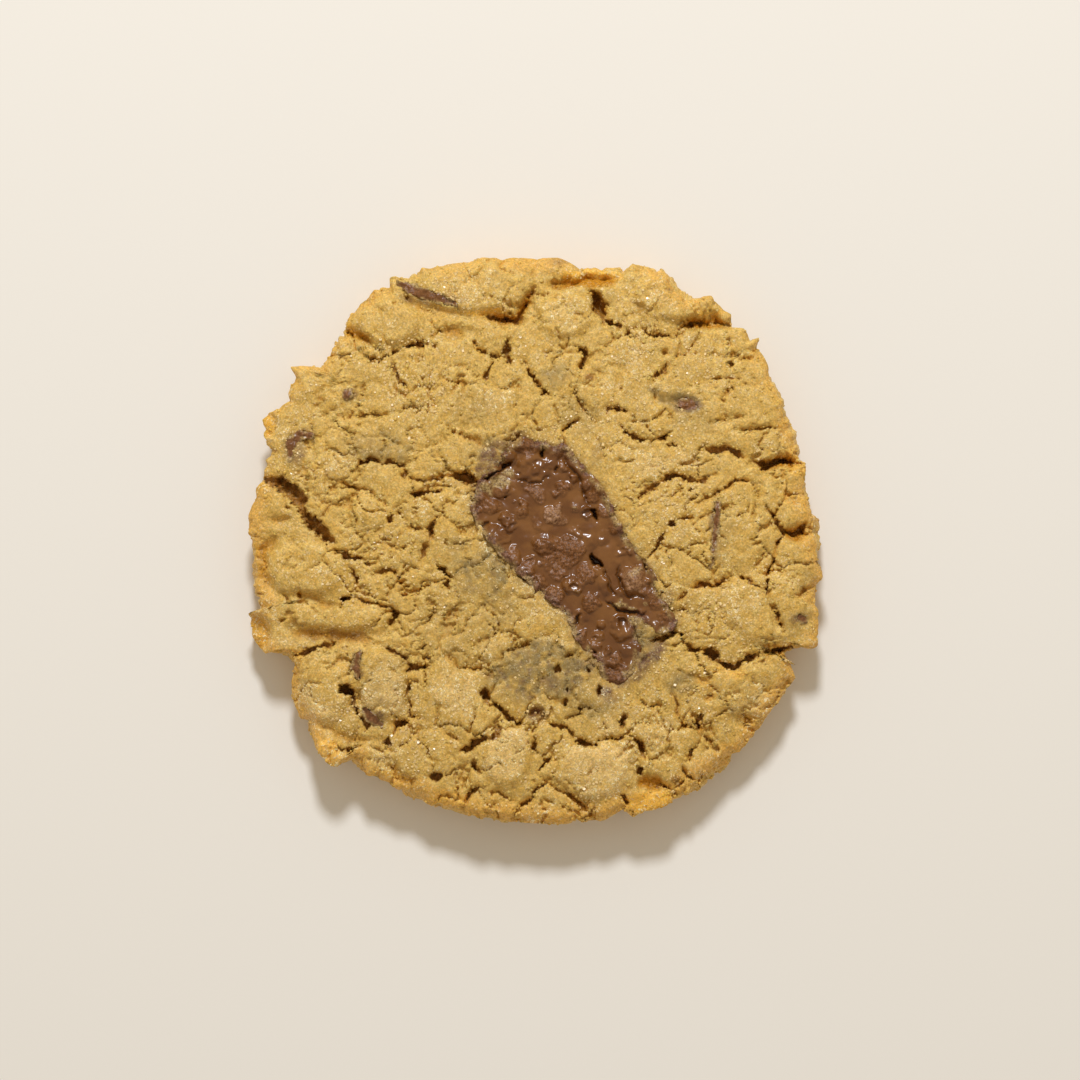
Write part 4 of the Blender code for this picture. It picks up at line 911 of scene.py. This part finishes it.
def new_material(name, inputs):
    """A material, its node tree and its shader, with the shader's own inputs set."""
    material = bpy.data.materials.new(name)
    material.use_nodes = True
    tree = material.node_tree
    shader = tree.nodes["Principled BSDF"]
    wire(tree, shader, inputs)
    return material, tree, shader


dough = make_dough()

# Baked peanut-butter dough: matt, sandy and faintly see-through, golden where the skin dried, more orange
# along the rim, and greyed where chocolate lies just under it. Painted shade makes it orange on crack banks
# and in folds, hairlines and pores, and dark brown at the bottom of cracks and pits; painted light makes
# thin lips and ledges glow, the sugar glaze glint and the front, away from the light, look brighter.
dough_finish, tree, skin = new_material("baked peanut-butter dough", {
    "Roughness": 0.6, "Coat Roughness": 0.26,
    "Subsurface Weight": 0.35, "Subsurface Radius": (1.0, 0.75, 0.4), "Subsurface Scale": 1.0 * MM,
})
# Its colour drifts over 5 mm, is mottled over 1.3 mm and has a sandy grain of 0.34 mm.
where, deep_shade_and_nuts, hollow_shade, grey, smear, gold, glow, frost_and_painted_light, browned, drift, mottle, sand = laid_by(
    tree, ("deep_shade_and_nuts", "hollow_shade", "grey", "smear", "gold", "glow", "frost_and_painted_light", "browned"),
    ((5.0, 3.0, 0.5), (1.3, 4.0, 0.5), (0.34, 3.0, 0.65)),
)
colour = painted(
    tree, linear("D2A84E"),
    ("DCB763", (mottle, 0.36, 0.66)),
    ("CAA450", (drift, 0.42, 0.70, 0.0, 0.5)),
    # pale dried sugar, with painted light that pales the south side
    ("EBC77E", (frost_and_painted_light, 0.35, 1.0, 0.0, 0.6)),
    ("E2AA46", (gold, 0.3, 1.0, 0.0, 0.65)),
    # painted light: the orange-yellow glow where light comes through thin lips and ledges
    ("F0B640", (glow, 0.1, 0.8, 0.0, 0.9)),
    ("826E42", grey, (sand, 0.3, 0.7, 0.55, 1.0)),
    # painted shade: orange on crack banks and in folds, hairlines and pores
    ("BC7C0C", (hollow_shade, 0.1, 1.0, 0.0, 0.85)),
    ("6A4634", smear, (sand, 0.35, 0.62, 0.5, 1.0)),
    # painted shade at the bottom of cracks and pits, and the peanut nubs' own brown
    ("9C681E", (deep_shade_and_nuts, 0.1, 0.9, 0.0, 0.85)),
    ("B07A34", (browned, 0.0, 1.0, 0.0, 0.9)),
)
speckle = add(tree, "ShaderNodeValToRGB", {0: sand}, out=None)
for stop, position, shade in ((0, 0.32, (0.76, 0.75, 0.70, 1)), (1, 0.64, (1.15, 1.15, 1.14, 1))):
    speckle.color_ramp.elements[stop].position = position
    speckle.color_ramp.elements[stop].color = shade
# Specks of ground peanut and flour. Real ones are under 0.1 mm, so they are drawn coarser, to show.
flour = add(tree, "ShaderNodeTexVoronoi", {"Vector": where, "Scale": 1 / (0.25 * MM)}, out="Color")
flour = add(tree, "ShaderNodeSeparateColor", {0: flour})
flour = add(tree, "ShaderNodeMapRange", {0: flour, 3: 0.84, 4: 1.16})
for grain in (speckle.outputs[0], flour):
    inputs = {0: 1.0, 6: colour, 7: grain}
    colour = add(tree, "ShaderNodeMix", inputs, out=2, data_type="RGBA", blend_type="MULTIPLY")
lumpy = add(tree, "ShaderNodeBump", {"Height": mottle, "Strength": 0.4, "Distance": 0.35 * MM})
sandy = add(tree, "ShaderNodeBump", {"Height": sand, "Strength": 0.6, "Distance": 0.22 * MM, "Normal": lumpy})
# Dissolved sugar dried on the skin as an uneven glaze, a glossy coat. Its glints, in short streaks, are also
# painted warm white into its colour: painted highlights.
glaze_and_painted_glints = amount(tree, (frost_and_painted_light, 0.1, 0.7, 0.3, 1.0), (mottle, 0.38, 0.56, 0.3, 1.0))
inputs = {"Vector": where, "Scale": 1 / (0.42 * MM), "Detail": 1.0, "Distortion": 1.2}
ripple = add(tree, "ShaderNodeTexNoise", inputs)
rippled = add(tree, "ShaderNodeBump", {"Height": ripple, "Distance": 0.4 * MM, "Normal": sandy})
wire(tree, skin, {
    # painted highlights: warm white streaks where the glaze glints
    "Base Color": painted(tree, colour, ("FFF0C4", glaze_and_painted_glints, (ripple, 0.59, 0.66, 0.0, 0.85))),
    "Normal": sandy,
    "Specular IOR Level": amount(tree, (hollow_shade, 0.2, 0.9, 0.4, 0.1)),
    "Coat Weight": amount(tree, glaze_and_painted_glints, 0.5),
    "Coat Normal": rippled,
})
dough.data.materials.clear()
dough.data.materials.append(dough_finish)
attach(dough, "root")
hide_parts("dough")


# ---- Chocolate slab ----------------------------------------------------------------------------------
# A broken piece of milk chocolate with puffed rice, baked into the middle. Its face melted and set again
# glossy, sunk between the puffed-rice bumps, which stay rough, and it is dull and crumbly along its edge.

SLAB_SINK = 0.8               # how far the melt sank below the dough's skin
SLAB_OVERLAP = 0.5            # how far it runs on under the dough
SLAB_SPACING = 0.19           # from one point of its face to the next
SLAB_STRAY = 0.22             # how far its edge strays from the outline
RICE_GRAIN = 0.62             # the rough grain of bare puffed rice

# Puffed-rice bumps: x, y, radius, rise, roughness from 0 for melted over to 1 for bare, and paleness.
BUMPS = [
    (-0.6, 8.2, 1.1, 0.4, 0.9, 0.2), (0.6, 7.2, 1.3, 0.45, 1, 0.3), (3.9, 8.4, 1.5, 0.55, 0.9, 0.1),
    (-2.3, 5, 1.3, 0.6, 0.7, 0.2), (2.6, 4.3, 1.6, 0.6, 0.9, 0.7), (4, 3.3, 1, 0.4, 0.8, 0.4),
    (0.1, 2.9, 0.7, 0.25, 0.5, 0.2), (-4.4, 3, 1.5, 0.9, 0.5, 0.1), (-6.4, 0.7, 2.1, 0.9, 0.3, 0),
    (-7, 5.4, 1.4, 0.7, 0.7, 0.2), (-5.2, 7.8, 1.2, 0.65, 0.6, 0.1), (-3.8, -1.7, 1.8, 0.85, 0.6, 0.1),
    (1.5, -0.4, 2.1, 1, 0.7, 0), (5, -1.7, 2.7, 0.65, 1, 0), (2.1, -3.4, 1.6, 0.5, 0.9, 0),
    (6, 5.2, 1.1, 0.45, 0.6, 0.3), (8.1, 4.4, 1.2, 0.9, 0.2, 0.1), (-1.2, -3.6, 1.5, 0.75, 0.7, 0.1),
    (0.5, -6.4, 1.4, 0.6, 0.9, 0.3), (2.6, -8.4, 1.5, 0.6, 1, 0.3), (5.9, -6.9, 1.6, 1.05, 0.1, 0),
    (8, -5.2, 1.7, 0.5, 0.9, 0), (8.8, -9.6, 1.6, 0.7, 0.9, 0.1), (3.8, -4.9, 1.4, 0.45, 0.8, 0),
    (7, -15, 1.4, 0.6, 1, 0.3), (10.2, -13.2, 0.8, 0.6, 0.4, 0.1), (10.1, -14.9, 0.9, 0.65, 0.5, 0.1),
    (9.4, -16.4, 0.8, 0.55, 0.6, 0.1), (11.3, -17.4, 0.8, 0.6, 0.5, 0.1), (13.5, -13.6, 2, 1.1, 0.3, 0),
    (12.6, -19, 1.3, 0.5, 0.9, 0.2), (12.3, -21.1, 1.3, 0.5, 1, 0.2), (13.4, -19.6, 0.9, 0.35, 0.9, 0.1),
    (15.6, -5.8, 2.2, 0.95, 0.8, 0.6), (18.8, -9.4, 1.4, 0.5, 0.8, 0.1), (20.2, -12.2, 1.3, 0.55, 0.8, 0.1),
    (17.4, -7.6, 1.1, 0.45, 0.7, 0.1), (8.1, -0.2, 1.7, 0.35, 0, 0.1), (11, -7, 1.5, 0.45, 0, 0),
    (13.2, -8, 1.2, 0.4, 0, 0), (-0.8, 11.5, 2.9, 0.85, 0, 0), (-1.6, 14.6, 1.7, 0.6, 0.9, 0),
    (2.2, 12.6, 1.4, 0.6, 0.1, 0), (4, 12, 0.9, 0.5, 0.6, 0.3), (3.4, 14, 1, 0.5, 0.8, 0.1),
    (5.5, 10.2, 0.8, 0.45, 0.6, 0.2), (7.4, 8.8, 1, 0.45, 0.7, 0.2), (9.2, 7.2, 1.1, 0.5, 0.9, 0.2),
    (10.8, 4.9, 1.1, 0.45, 0.9, 0.2), (12.4, 1.9, 1.1, 0.4, 0.9, 0.2), (14.4, -1.4, 1, 0.4, 0.8, 0.2),
    (-4.2, 13.2, 1.2, 0.8, 0.2, 0), (-6.4, 11, 1.1, 0.7, 0.8, 0.1), (-8.6, 6.4, 0.9, 0.5, 1, 0.2),
    (-9, 4.6, 0.9, 0.6, 1, 0.1), (6.4, 1.4, 0.9, 0.3, 0.3, 0), (10.6, 0.6, 1.2, 0.35, 0.2, 0),
    (3.2, -11, 1, 0.4, 0.9, 0.3), (7.4, -12, 1.1, 0.35, 0, 0), (14.2, -17.4, 1, 0.35, 0, 0),
]

# Where the melt drew apart: width, depth, points.
SLITS = [
    (0.8, 2.2, [(8.9, 4.8), (9.3, 4.2), (9.5, 3.5)]), (0.8, 2.4, [(9, -2.2), (9.4, -3), (10.2, -4.2)]),
    (0.5, 1.4, [(5.7, -12.9), (7.4, -12.1)]), (0.35, 0.8, [(-9.4, 5.2), (-8.8, 4.9)]),
    (0.35, 0.7, [(4.5, 14), (6.6, 9.6), (8, 6.8), (8.8, 4.9)]),
    (0.4, 0.8, [(10.2, -4.2), (11.4, -6.4), (12.4, -8.6)]), (0.4, 0.8, [(-8.6, 2.6), (-7.6, 3)]),
    (0.6, 1.8, [(1.1, 15.2), (0.9, 14.3), (1.5, 13.6)]), (0.4, 0.9, [(2.9, 11), (3.4, 12.2)]),
    (0.4, 1, [(-5, 7), (-4.2, 6.9)]), (0.5, 1.2, [(11.4, -9), (12.8, -10.8), (15.2, -11.4), (17.2, -10.6)]),
    (0.3, 0.6, [(-3.4, 10), (-0.6, 9.4), (2, 10.2)]), (0.3, 0.6, [(-1.8, -2.6), (-0.6, -2.9)]),
    (0.35, 0.8, [(13.4, -4), (13.2, -6.6), (14.4, -8.2), (16.4, -8.4)]),
    (0.3, 0.6, [(10.6, -19.9), (11.4, -20.2), (12.6, -20)]), (0.5, 1.6, [(17.1, -3.9), (17.7, -4.7)]),
    (0.3, 0.5, [(11.4, -20.9), (12.4, -20.6), (13.4, -20.8)]), (0.4, 1, [(6.2, -14.6), (7, -14.2)]),
    (0.5, 1.6, [(-8.8, 9), (-6.8, 10.4), (-5, 12), (-3.8, 13.2)]), (0.5, 1, [(8.4, -17.2), (9.4, -17.6)]),
]

# Where the melt set on a slope, which shines: x, y, half width, half depth.
SLOPES = [
    (1.2, 0.9, 1.6, 0.8), (6.2, -7.1, 0.7, 0.7), (13.7, -13.3, 1.3, 1.1), (12, -9.9, 0.9, 0.6),
    (8, 4.2, 1, 0.7), (-3.8, 2.7, 1, 0.7), (-6, 2.6, 1.3, 0.5), (0.4, 12.6, 1, 0.7), (-3, 10.9, 0.6, 0.6),
    (0, -6.3, 0.5, 0.7), (15.4, -16, 0.8, 0.4), (13.6, -1.4, 0.8, 0.4), (-4, 8, 0.7, 0.7),
    (10, -14.2, 0.5, 0.8), (4.8, 9.6, 0.5, 0.9),
]

# Dough that lies over the melt: x, y, half width, half depth, strength.
DOUGH_BITS = [
    (13.2, -9.9, 1.3, 0.6, 1), (14.9, -10.6, 0.8, 0.4, 0.9), (16.2, -12.7, 1, 1.2, 1),
    (0.9, 15, 0.8, 0.6, 0.8), (-7.8, 8.2, 1.7, 0.9, 1), (-5.9, 9.4, 1.5, 0.9, 1), (-4.4, 10.8, 1, 0.9, 1),
    (15.9, -4.9, 1.3, 1, 0.6), (5.8, 5.4, 0.5, 0.3, 0.6), (16.8, -9.6, 0.5, 0.4, 0.5),
    (13.8, -21, 0.6, 0.8, 0.7), (6.5, -7.9, 0.5, 0.25, 0.4),
]


def inward_of(ring):
    """The unit vectors that point inwards at each corner of a counter-clockwise ring."""
    tangent = np.roll(ring, -2, 0) - np.roll(ring, 2, 0)
    inward = np.stack([-tangent[:, 1], tangent[:, 0]], 1)
    return inward / np.maximum(np.linalg.norm(inward, axis=1, keepdims=True), 1e-9)


def grown(outline, by):
    """A counter-clockwise outline moved outwards."""
    ring = np.array(divided(outline, closed=True, spacing=0.8))
    return [tuple(p) for p in ring - by * inward_of(ring)]


def relief_body(name, outline, spacing, stray, surface, low_level):
    """A closed body with a flat underside and a modelled face, its edge straying by that much from the
    outline. surface gives the height and tones of places."""
    edge_x, edge_y = np.array(divided(outline, closed=True, spacing=spacing)).T
    edge_places = flat_places(edge_x, edge_y)
    edge_x, edge_y = (
        at + stray * waves(edge_places, 0.9, 2, seed) for at, seed in ((edge_x, 151), (edge_y, 157))
    )
    edge = list(zip(edge_x, edge_y))
    steps = (np.arange(at.min(), at.max(), spacing) for at in (edge_x, edge_y))
    grid_x, grid_y = (at.ravel() for at in np.meshgrid(*steps))
    grid_x, grid_y = (
        grid_x + spacing * 0.3 * waves(flat_places(grid_x, grid_y), 0.3, 1, 163),
        grid_y + 0.5 * spacing * (np.arange(len(grid_y)) % 2),
    )
    kept = inside_by(grid_x, grid_y, edge) > 0.6 * spacing
    count = len(edge)
    plan = [Vector(p) for p in edge] + [Vector(p) for p in zip(grid_x[kept], grid_y[kept])]
    ring = [(i, (i + 1) % count) for i in range(count)]
    flat_points, _, faces, _, _, _ = geometry.delaunay_2d_cdt(plan, ring, [], 1, 1e-6)
    _, _, low_faces, _, _, _ = geometry.delaunay_2d_cdt(plan[:count], ring, [], 1, 1e-6)
    x, y = np.array([tuple(p) for p in flat_points]).T
    height, tones = surface(x, y)
    rings = [np.stack([x, y, height], 1)]
    place = np.stack([edge_x, edge_y], 1)
    above = list(range(count))
    for number, (share, draw) in enumerate(((0.15, 0.06), (0.5, 0.1), (0.9, 0.12), (1.0, 0.35))):
        level = height[:count] + share * (low_level - height[:count])
        rings.append(np.concatenate([place + draw * inward_of(place), level[:, None]], 1))
        below = [len(x) + number * count + i for i in range(count)]
        faces += [(above[i], below[i], below[after], above[after]) for i, after in ring]
        above = below
    faces += [tuple(above[i] for i in reversed(face)) for face in low_faces]
    points = np.concatenate(rings)
    mesh = bpy.data.meshes.new(name)
    mesh.from_pydata(placed(points).tolist(), [], faces)
    mesh.polygons.foreach_set("use_smooth", [True] * len(mesh.polygons))
    side = np.ones(len(points) - len(x))
    add_tones(mesh, {key: np.concatenate([value, side * (key == "rough")]) for key, value in tones.items()})
    return new_piece(name, mesh)


def slab_face(x, y):
    """Height and tones of the slab's face: melt, puffed-rice bumps, slits and bits of dough."""
    flat = flat_places(x, y)
    inside = inside_by(x, y, SLAB_EDGE)
    height = crown_height(x, y) - SLAB_SINK + 0.30 * waves(flat, 4.0, 2, 167) + 0.5 * smooth(1 - inside / 1.8)
    rough, pale, rise = np.zeros(x.shape), np.zeros(x.shape), np.zeros(x.shape)
    bend_x, bend_y = x + 0.60 * waves(flat, 1.7, 3, 173), y + 0.60 * waves(flat, 1.7, 3, 179)
    for bump_x, bump_y, radius, bump_rise, bareness, paleness in BUMPS:
        share = np.hypot(bend_x - bump_x, bend_y - bump_y) / radius
        swell = bump_rise * np.clip(1 - np.clip(share, 0, 1) ** 2, 0, 1) ** (0.9 - 0.3 * bareness)
        rise = np.maximum(rise, swell) + 0.22 * np.minimum(rise, swell)
        cover = smooth((1.15 - share) * 2.0)
        rough = np.maximum(rough, bareness * cover)
        pale = np.maximum(pale, paleness * cover)
    for slope in SLOPES:
        here = patches(bend_x, bend_y, [(*slope, 1.0)])
        height -= 0.42 * here * (y - slope[1])
        rise *= 1 - 0.8 * here
        rough *= 1 - 0.8 * here
    worn = smooth(1.15 - inside / 1.2) * smooth(0.55 + 0.8 * waves(flat, 2.2, 2, 181))
    rough = np.maximum(rough, worn)
    bits = patches(bend_x, bend_y, DOUGH_BITS)
    dusty = np.maximum(bits, 0.9 * smooth(1 - inside / 0.9) * smooth(0.4 + 0.9 * waves(flat, 1.1, 2, 187)))
    grains, _, number, _ = cells(flat, RICE_GRAIN, 191)
    height += rise * (1.05 + 0.35 * waves(flat, 0.9, 2, 192))
    height += rough * (0.40 * (0.26 - grains) * (0.4 + number) + 0.10 * waves(flat, 0.4, 2, 193))
    height += (1 - rough) * (0.10 * waves(flat, 1.8, 2, 197) + 0.02 * waves(flat, 0.7, 1, 198))
    past_slit, slit_depth = edge_distance(bend_x, bend_y, SLITS, reach=1.0, wall=0.35)
    height -= 0.8 * slit_depth + 0.22 * fading(past_slit, 0.35)
    height += 0.5 * smooth(1 - inside / 1.6) * waves(flat, 1.6, 2, 199) + bits * (0.2 + 0.5 * (0.3 - grains))
    # painted shade: the slits are darkened
    deep_shade_and_nuts = smooth(slit_depth / 1.6) * (1 - 0.7 * bits)
    rough = np.maximum(rough, bits)
    return under_top(height), {"rough": rough, "deep_shade_and_nuts": deep_shade_and_nuts, "pale": pale, "worn": worn, "dusty": dusty}


slab_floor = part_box("chocolate_slab")[0].z / MM
slab_outline = grown(SLAB_EDGE, SLAB_OVERLAP)
slab = relief_body("milk_chocolate_slab", slab_outline, SLAB_SPACING, SLAB_STRAY, slab_face, slab_floor)

# Milk chocolate with puffed rice: glossy and smooth where it melted, grainy where the rice shows, paler where
# it bloomed, and reddish, dull and dusted with dough along its worn edge. Painted shade
# darkens its slits.
chocolate_finish, tree, chocolate = new_material("baked milk chocolate with puffed rice", {
    "IOR": 1.5, "Subsurface Weight": 0.04, "Subsurface Radius": (1.0, 0.5, 0.3), "Subsurface Scale": 0.5 * MM,
})
# Its colour swirls over 3 mm, and the broken cells of the rice make a grit of 0.3 mm.
where, rough, deep_shade_and_nuts, pale, worn, dusty, swirl, grit = laid_by(
    tree, ("rough", "deep_shade_and_nuts", "pale", "worn", "dusty"), ((3.0, 3.0, 0.5), (0.30, 3.0, 0.7))
)
bare, bloomed, reddish, floury = (
    painted(tree, linear(low), (high, (grit, 0.36, 0.64)))
    for low, high in (("5E3812", "945E2E"), ("7C5234", "BC9166"), ("54301C", "845A40"), ("8E7444", "C4A468"))
)
inputs = {"Height": grit, "Distance": 0.16 * MM, "Strength": amount(tree, rough, rough)}
gritty = add(tree, "ShaderNodeBump", inputs)
# Each small facet of the rough grain leans its own way.
lean = add(tree, "ShaderNodeTexVoronoi", {"Vector": where, "Scale": 1 / (0.32 * MM)}, out="Color")
for operation, inputs in (
    ("SUBTRACT", {1: (0.5, 0.5, 0.5)}), ("SCALE", {"Scale": amount(tree, rough, 0.5)}), ("ADD", {1: gritty}),
    ("NORMALIZE", {}),
):
    lean = add(tree, "ShaderNodeVectorMath", {0: lean, **inputs}, operation=operation)
wire(tree, chocolate, {
    "Base Color": painted(
        tree, linear("6E431C"),
        ("825426", (swirl, 0.38, 0.64)),
        (bare, (rough, 0.25, 1.0, 0.0, 0.85)),
        (bloomed, (pale, 0.1, 1.0, 0.0, 0.85)),
        (reddish, (worn, 0.1, 1.0, 0.0, 0.8)),
        (floury, dusty, (grit, 0.30, 0.55, 0.3, 1.0)),
        # painted shade in the slits
        ("43260F", deep_shade_and_nuts),
    ),
    "Normal": lean,
    "Roughness": amount(tree, (rough, 0.1, 0.9, 0.22, 0.36)),
})
slab.data.materials.append(chocolate_finish)
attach(slab, "root")
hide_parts("chocolate_slab")


# ---- Chocolate shards --------------------------------------------------------------------------------
# Splinters of the same milk chocolate, left from breaking it up. They lie in the skin where they baked, their
# tops level with it and dusted with crumbs.

SHARD_SINK = 0.15             # how far their tops lie below the skin
SHARD_OVERLAP = 0.2           # how far they run on under the dough
SHARD_SPACING = 0.16
SHARD_STRAY = 0.3


def shard_face(x, y):
    """Height and tones of the shards' tops."""
    flat = flat_places(x, y)
    grains, _, number, _ = cells(flat, 0.7, 211)
    height = crown_height(x, y) - SHARD_SINK + 0.30 * waves(flat, 1.6, 2, 223)
    height = height + 0.4 * (0.3 - grains) * (0.5 + number)
    inside = np.max([inside_by(x, y, ribbon(width, points)) for width, points in SHARDS], axis=0)
    return under_top(height), {
        "rough": 0.7 + 0.4 * waves(flat, 1.0, 2, 227),
        "deep_shade_and_nuts": 0 * x,
        "pale": 0.05 + 0.3 * waves(flat, 1.2, 2, 233),
        "worn": 0 * x + 0.3,
        "dusty": smooth(0.55 - inside / 0.5 + 0.9 * waves(flat, 1.1, 2, 229)),
    }


for number, (width, points) in enumerate(SHARDS, start=1):
    shard_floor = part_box(f"chocolate_shard_{number}")[0].z / MM
    shard_edge = grown(ribbon(width, points), SHARD_OVERLAP)
    shard = relief_body(
        f"shard_{number}", shard_edge, SHARD_SPACING, SHARD_STRAY, shard_face, shard_floor
    )
    shard.data.materials.append(chocolate_finish)
    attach(shard, "root")
    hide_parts(f"chocolate_shard_{number}")


# ---- Crumbs and sugar --------------------------------------------------------------------------------
# What came loose: dough crumbs along the cracks and the rim, half sunk in the skin, and the coarse sugar
# whose crystals glint all over the raised plates.

def scatter_tree(name, shape):
    """A node tree that scatters one small shape over a mesh, sunk a little, turned and sized at random."""
    tree = bpy.data.node_groups.new(name, "GeometryNodeTree")
    for label, kind in {
        "Ground": "Geometry", "Number per square metre": "Float", "Smallest": "Float", "Largest": "Float",
        "Sink": "Float", "Seed": "Int", "Where": "String", "Finish": "Material",
    }.items():
        tree.interface.new_socket(label, in_out="INPUT", socket_type=f"NodeSocket{kind}")
    tree.interface.new_socket("Scattered", in_out="OUTPUT", socket_type="NodeSocketGeometry")
    given = add(tree, "NodeGroupInput", out=None).outputs
    seed = given["Seed"]
    share = add(tree, "GeometryNodeInputNamedAttribute", {"Name": given["Where"]}, data_type="FLOAT")
    density = amount(tree, share, given["Number per square metre"])
    inputs = {"Mesh": given["Ground"], "Density": density, "Seed": seed}
    spread = add(tree, "GeometryNodeDistributePointsOnFaces", inputs, out=None).outputs
    inputs = {0: spread["Normal"], "Scale": given["Sink"]}
    sink = add(tree, "ShaderNodeVectorMath", inputs, operation="SCALE")
    sunk = add(tree, "GeometryNodeSetPosition", {"Geometry": spread["Points"], "Offset": sink})
    turn, stretch = (
        add(
            tree, "FunctionNodeRandomValue", {"Min": [low] * 3, "Max": [high] * 3, "Seed": seed},
            data_type="FLOAT_VECTOR",
        )
        for low, high in ((0, math.tau), (0.6, 1))
    )
    inputs = {2: given["Smallest"], 3: given["Largest"], "Seed": seed}
    size = add(tree, "FunctionNodeRandomValue", inputs, out=1, data_type="FLOAT")
    scale = add(tree, "ShaderNodeVectorMath", {0: stretch, "Scale": size}, operation="SCALE")
    inputs = {"Points": sunk, "Instance": shape(tree), "Rotation": turn, "Scale": scale}
    copies = add(tree, "GeometryNodeInstanceOnPoints", inputs)
    solid = add(tree, "GeometryNodeRealizeInstances", {0: copies})
    finished = add(tree, "GeometryNodeSetMaterial", {"Geometry": solid, "Material": given["Finish"]})
    add(tree, "NodeGroupOutput", {"Scattered": finished}, out=None)
    return tree


def scattered(name, tree, settings):
    """The plain mesh that the tree leaves on the dough, kept inside the CAD's box."""
    ground = new_piece(name, dough.data)
    modifier = ground.modifiers.new("scatter", "NODES")
    modifier.node_group = tree
    for item in tree.interface.items_tree:
        if item.name in settings:
            modifier[item.identifier] = settings[item.name]
    mesh = plain_mesh(ground)
    mesh.name = name
    reach = np.array([min(-cad_low[k], cad_high[k]) for k in range(2)])
    places = np.empty(len(mesh.vertices) * 3, np.float32)
    mesh.vertices.foreach_get("co", places)
    places = places.reshape(-1, 3)
    places[:, :2] = np.clip(places[:, :2], -reach, reach)
    places[:, 2] = np.clip(places[:, 2], 0.0, cad_high[2])
    mesh.vertices.foreach_set("co", places.ravel())
    return new_piece(name, mesh)


def pebble(tree):
    ball = add(tree, "GeometryNodeMeshIcoSphere", {"Radius": 0.5, "Subdivisions": 1})
    return add(tree, "GeometryNodeSetShadeSmooth", {"Geometry": ball})


def crystal(tree):
    return add(tree, "GeometryNodeMeshCube", {"Size": (1, 1, 1)})


crumb_finish = dough_finish.copy()
crumb_finish.name = "loose dough crumbs"
crumbs = scattered("crumbs", scatter_tree("crumb scatter", pebble), {
    "Where": "loose", "Number per square metre": 0.9e6, "Smallest": 0.3 * MM, "Largest": 0.9 * MM,
    "Sink": -0.05 * MM, "Seed": 3, "Finish": crumb_finish,
})

# Coarse sugar, a little dissolved: clear crystals, warm from the dough under them.
sugar_finish, _, _ = new_material("coarse sugar crystals", {
    "Base Color": linear("E8C888"), "Roughness": 0.3, "IOR": 1.55, "Subsurface Weight": 0.1,
    "Subsurface Radius": (1.0, 0.8, 0.5), "Subsurface Scale": 0.4 * MM,
})
sugar = scattered("sugar", scatter_tree("sugar scatter", crystal), {
    "Where": "sugared", "Number per square metre": 2.2e6, "Smallest": 0.22 * MM, "Largest": 0.46 * MM,
    "Sink": -0.10 * MM, "Seed": 8, "Finish": sugar_finish,
})
for piece in (crumbs, sugar):
    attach(piece, "root")
    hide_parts("dough")


# ---- Floor, light and camera -------------------------------------------------------------------------
# A plain pale board under one soft light from the back, with pale light from all round. The camera looks
# straight down through a long lens.

FLOOR_REACH = 900.0
FLOOR_LEVEL = -0.02           # just clear of the flat underside
LIGHT_PLACE = (-20.0, 700.0, 720.0)
LIGHT_WIDTH = 170.0
FRAME_WIDTH = 171.3           # what the view spans at the rim's height
CAMERA_HEIGHT = 1300.0
CAMERA_MIDDLE = (0.63, 0.24)
SENSOR_WIDTH = 36.0

floor_mesh = bpy.data.meshes.new("floor")
corners = np.array([(-1, -1, 0), (1, -1, 0), (1, 1, 0), (-1, 1, 0)]) * FLOOR_REACH + (0, 0, FLOOR_LEVEL)
floor_mesh.from_pydata((corners * MM).tolist(), [], [(0, 1, 2, 3)])
floor = new_piece("floor", floor_mesh)
board_finish, _, _ = new_material("warm white board", {
    "Base Color": linear("EFEAE0"), "Roughness": 0.9, "Specular IOR Level": 0.1,
})
floor_mesh.materials.append(board_finish)

scene = bpy.context.scene
scene.view_settings.view_transform = "Standard"
scene.world = bpy.data.worlds.new("studio")
scene.world.use_nodes = True
wire(scene.world.node_tree, scene.world.node_tree.nodes["Background"], {
    "Color": linear("FFF2DE"), "Strength": 0.475,
})

key_light = bpy.data.lights.new("key", "AREA")
key_light.shape = "DISK"
key_light.size = LIGHT_WIDTH * MM
key_light.energy = 7.8
key_light.color = linear("F1F6FF")[:3]
key = bpy.data.objects.new("key", key_light)
key.location = Vector(LIGHT_PLACE) * MM
key.rotation_euler = (-key.location).to_track_quat("-Z", "Y").to_euler()
scene.collection.objects.link(key)

camera_data = bpy.data.cameras.new("camera")
camera_data.lens = SENSOR_WIDTH * CAMERA_HEIGHT / FRAME_WIDTH
camera = bpy.data.objects.new("camera", camera_data)
camera.location = placed(np.array([*CAMERA_MIDDLE, CAMERA_HEIGHT + SHOULDER_HEIGHT]))
scene.collection.objects.link(camera)
scene.camera = camera
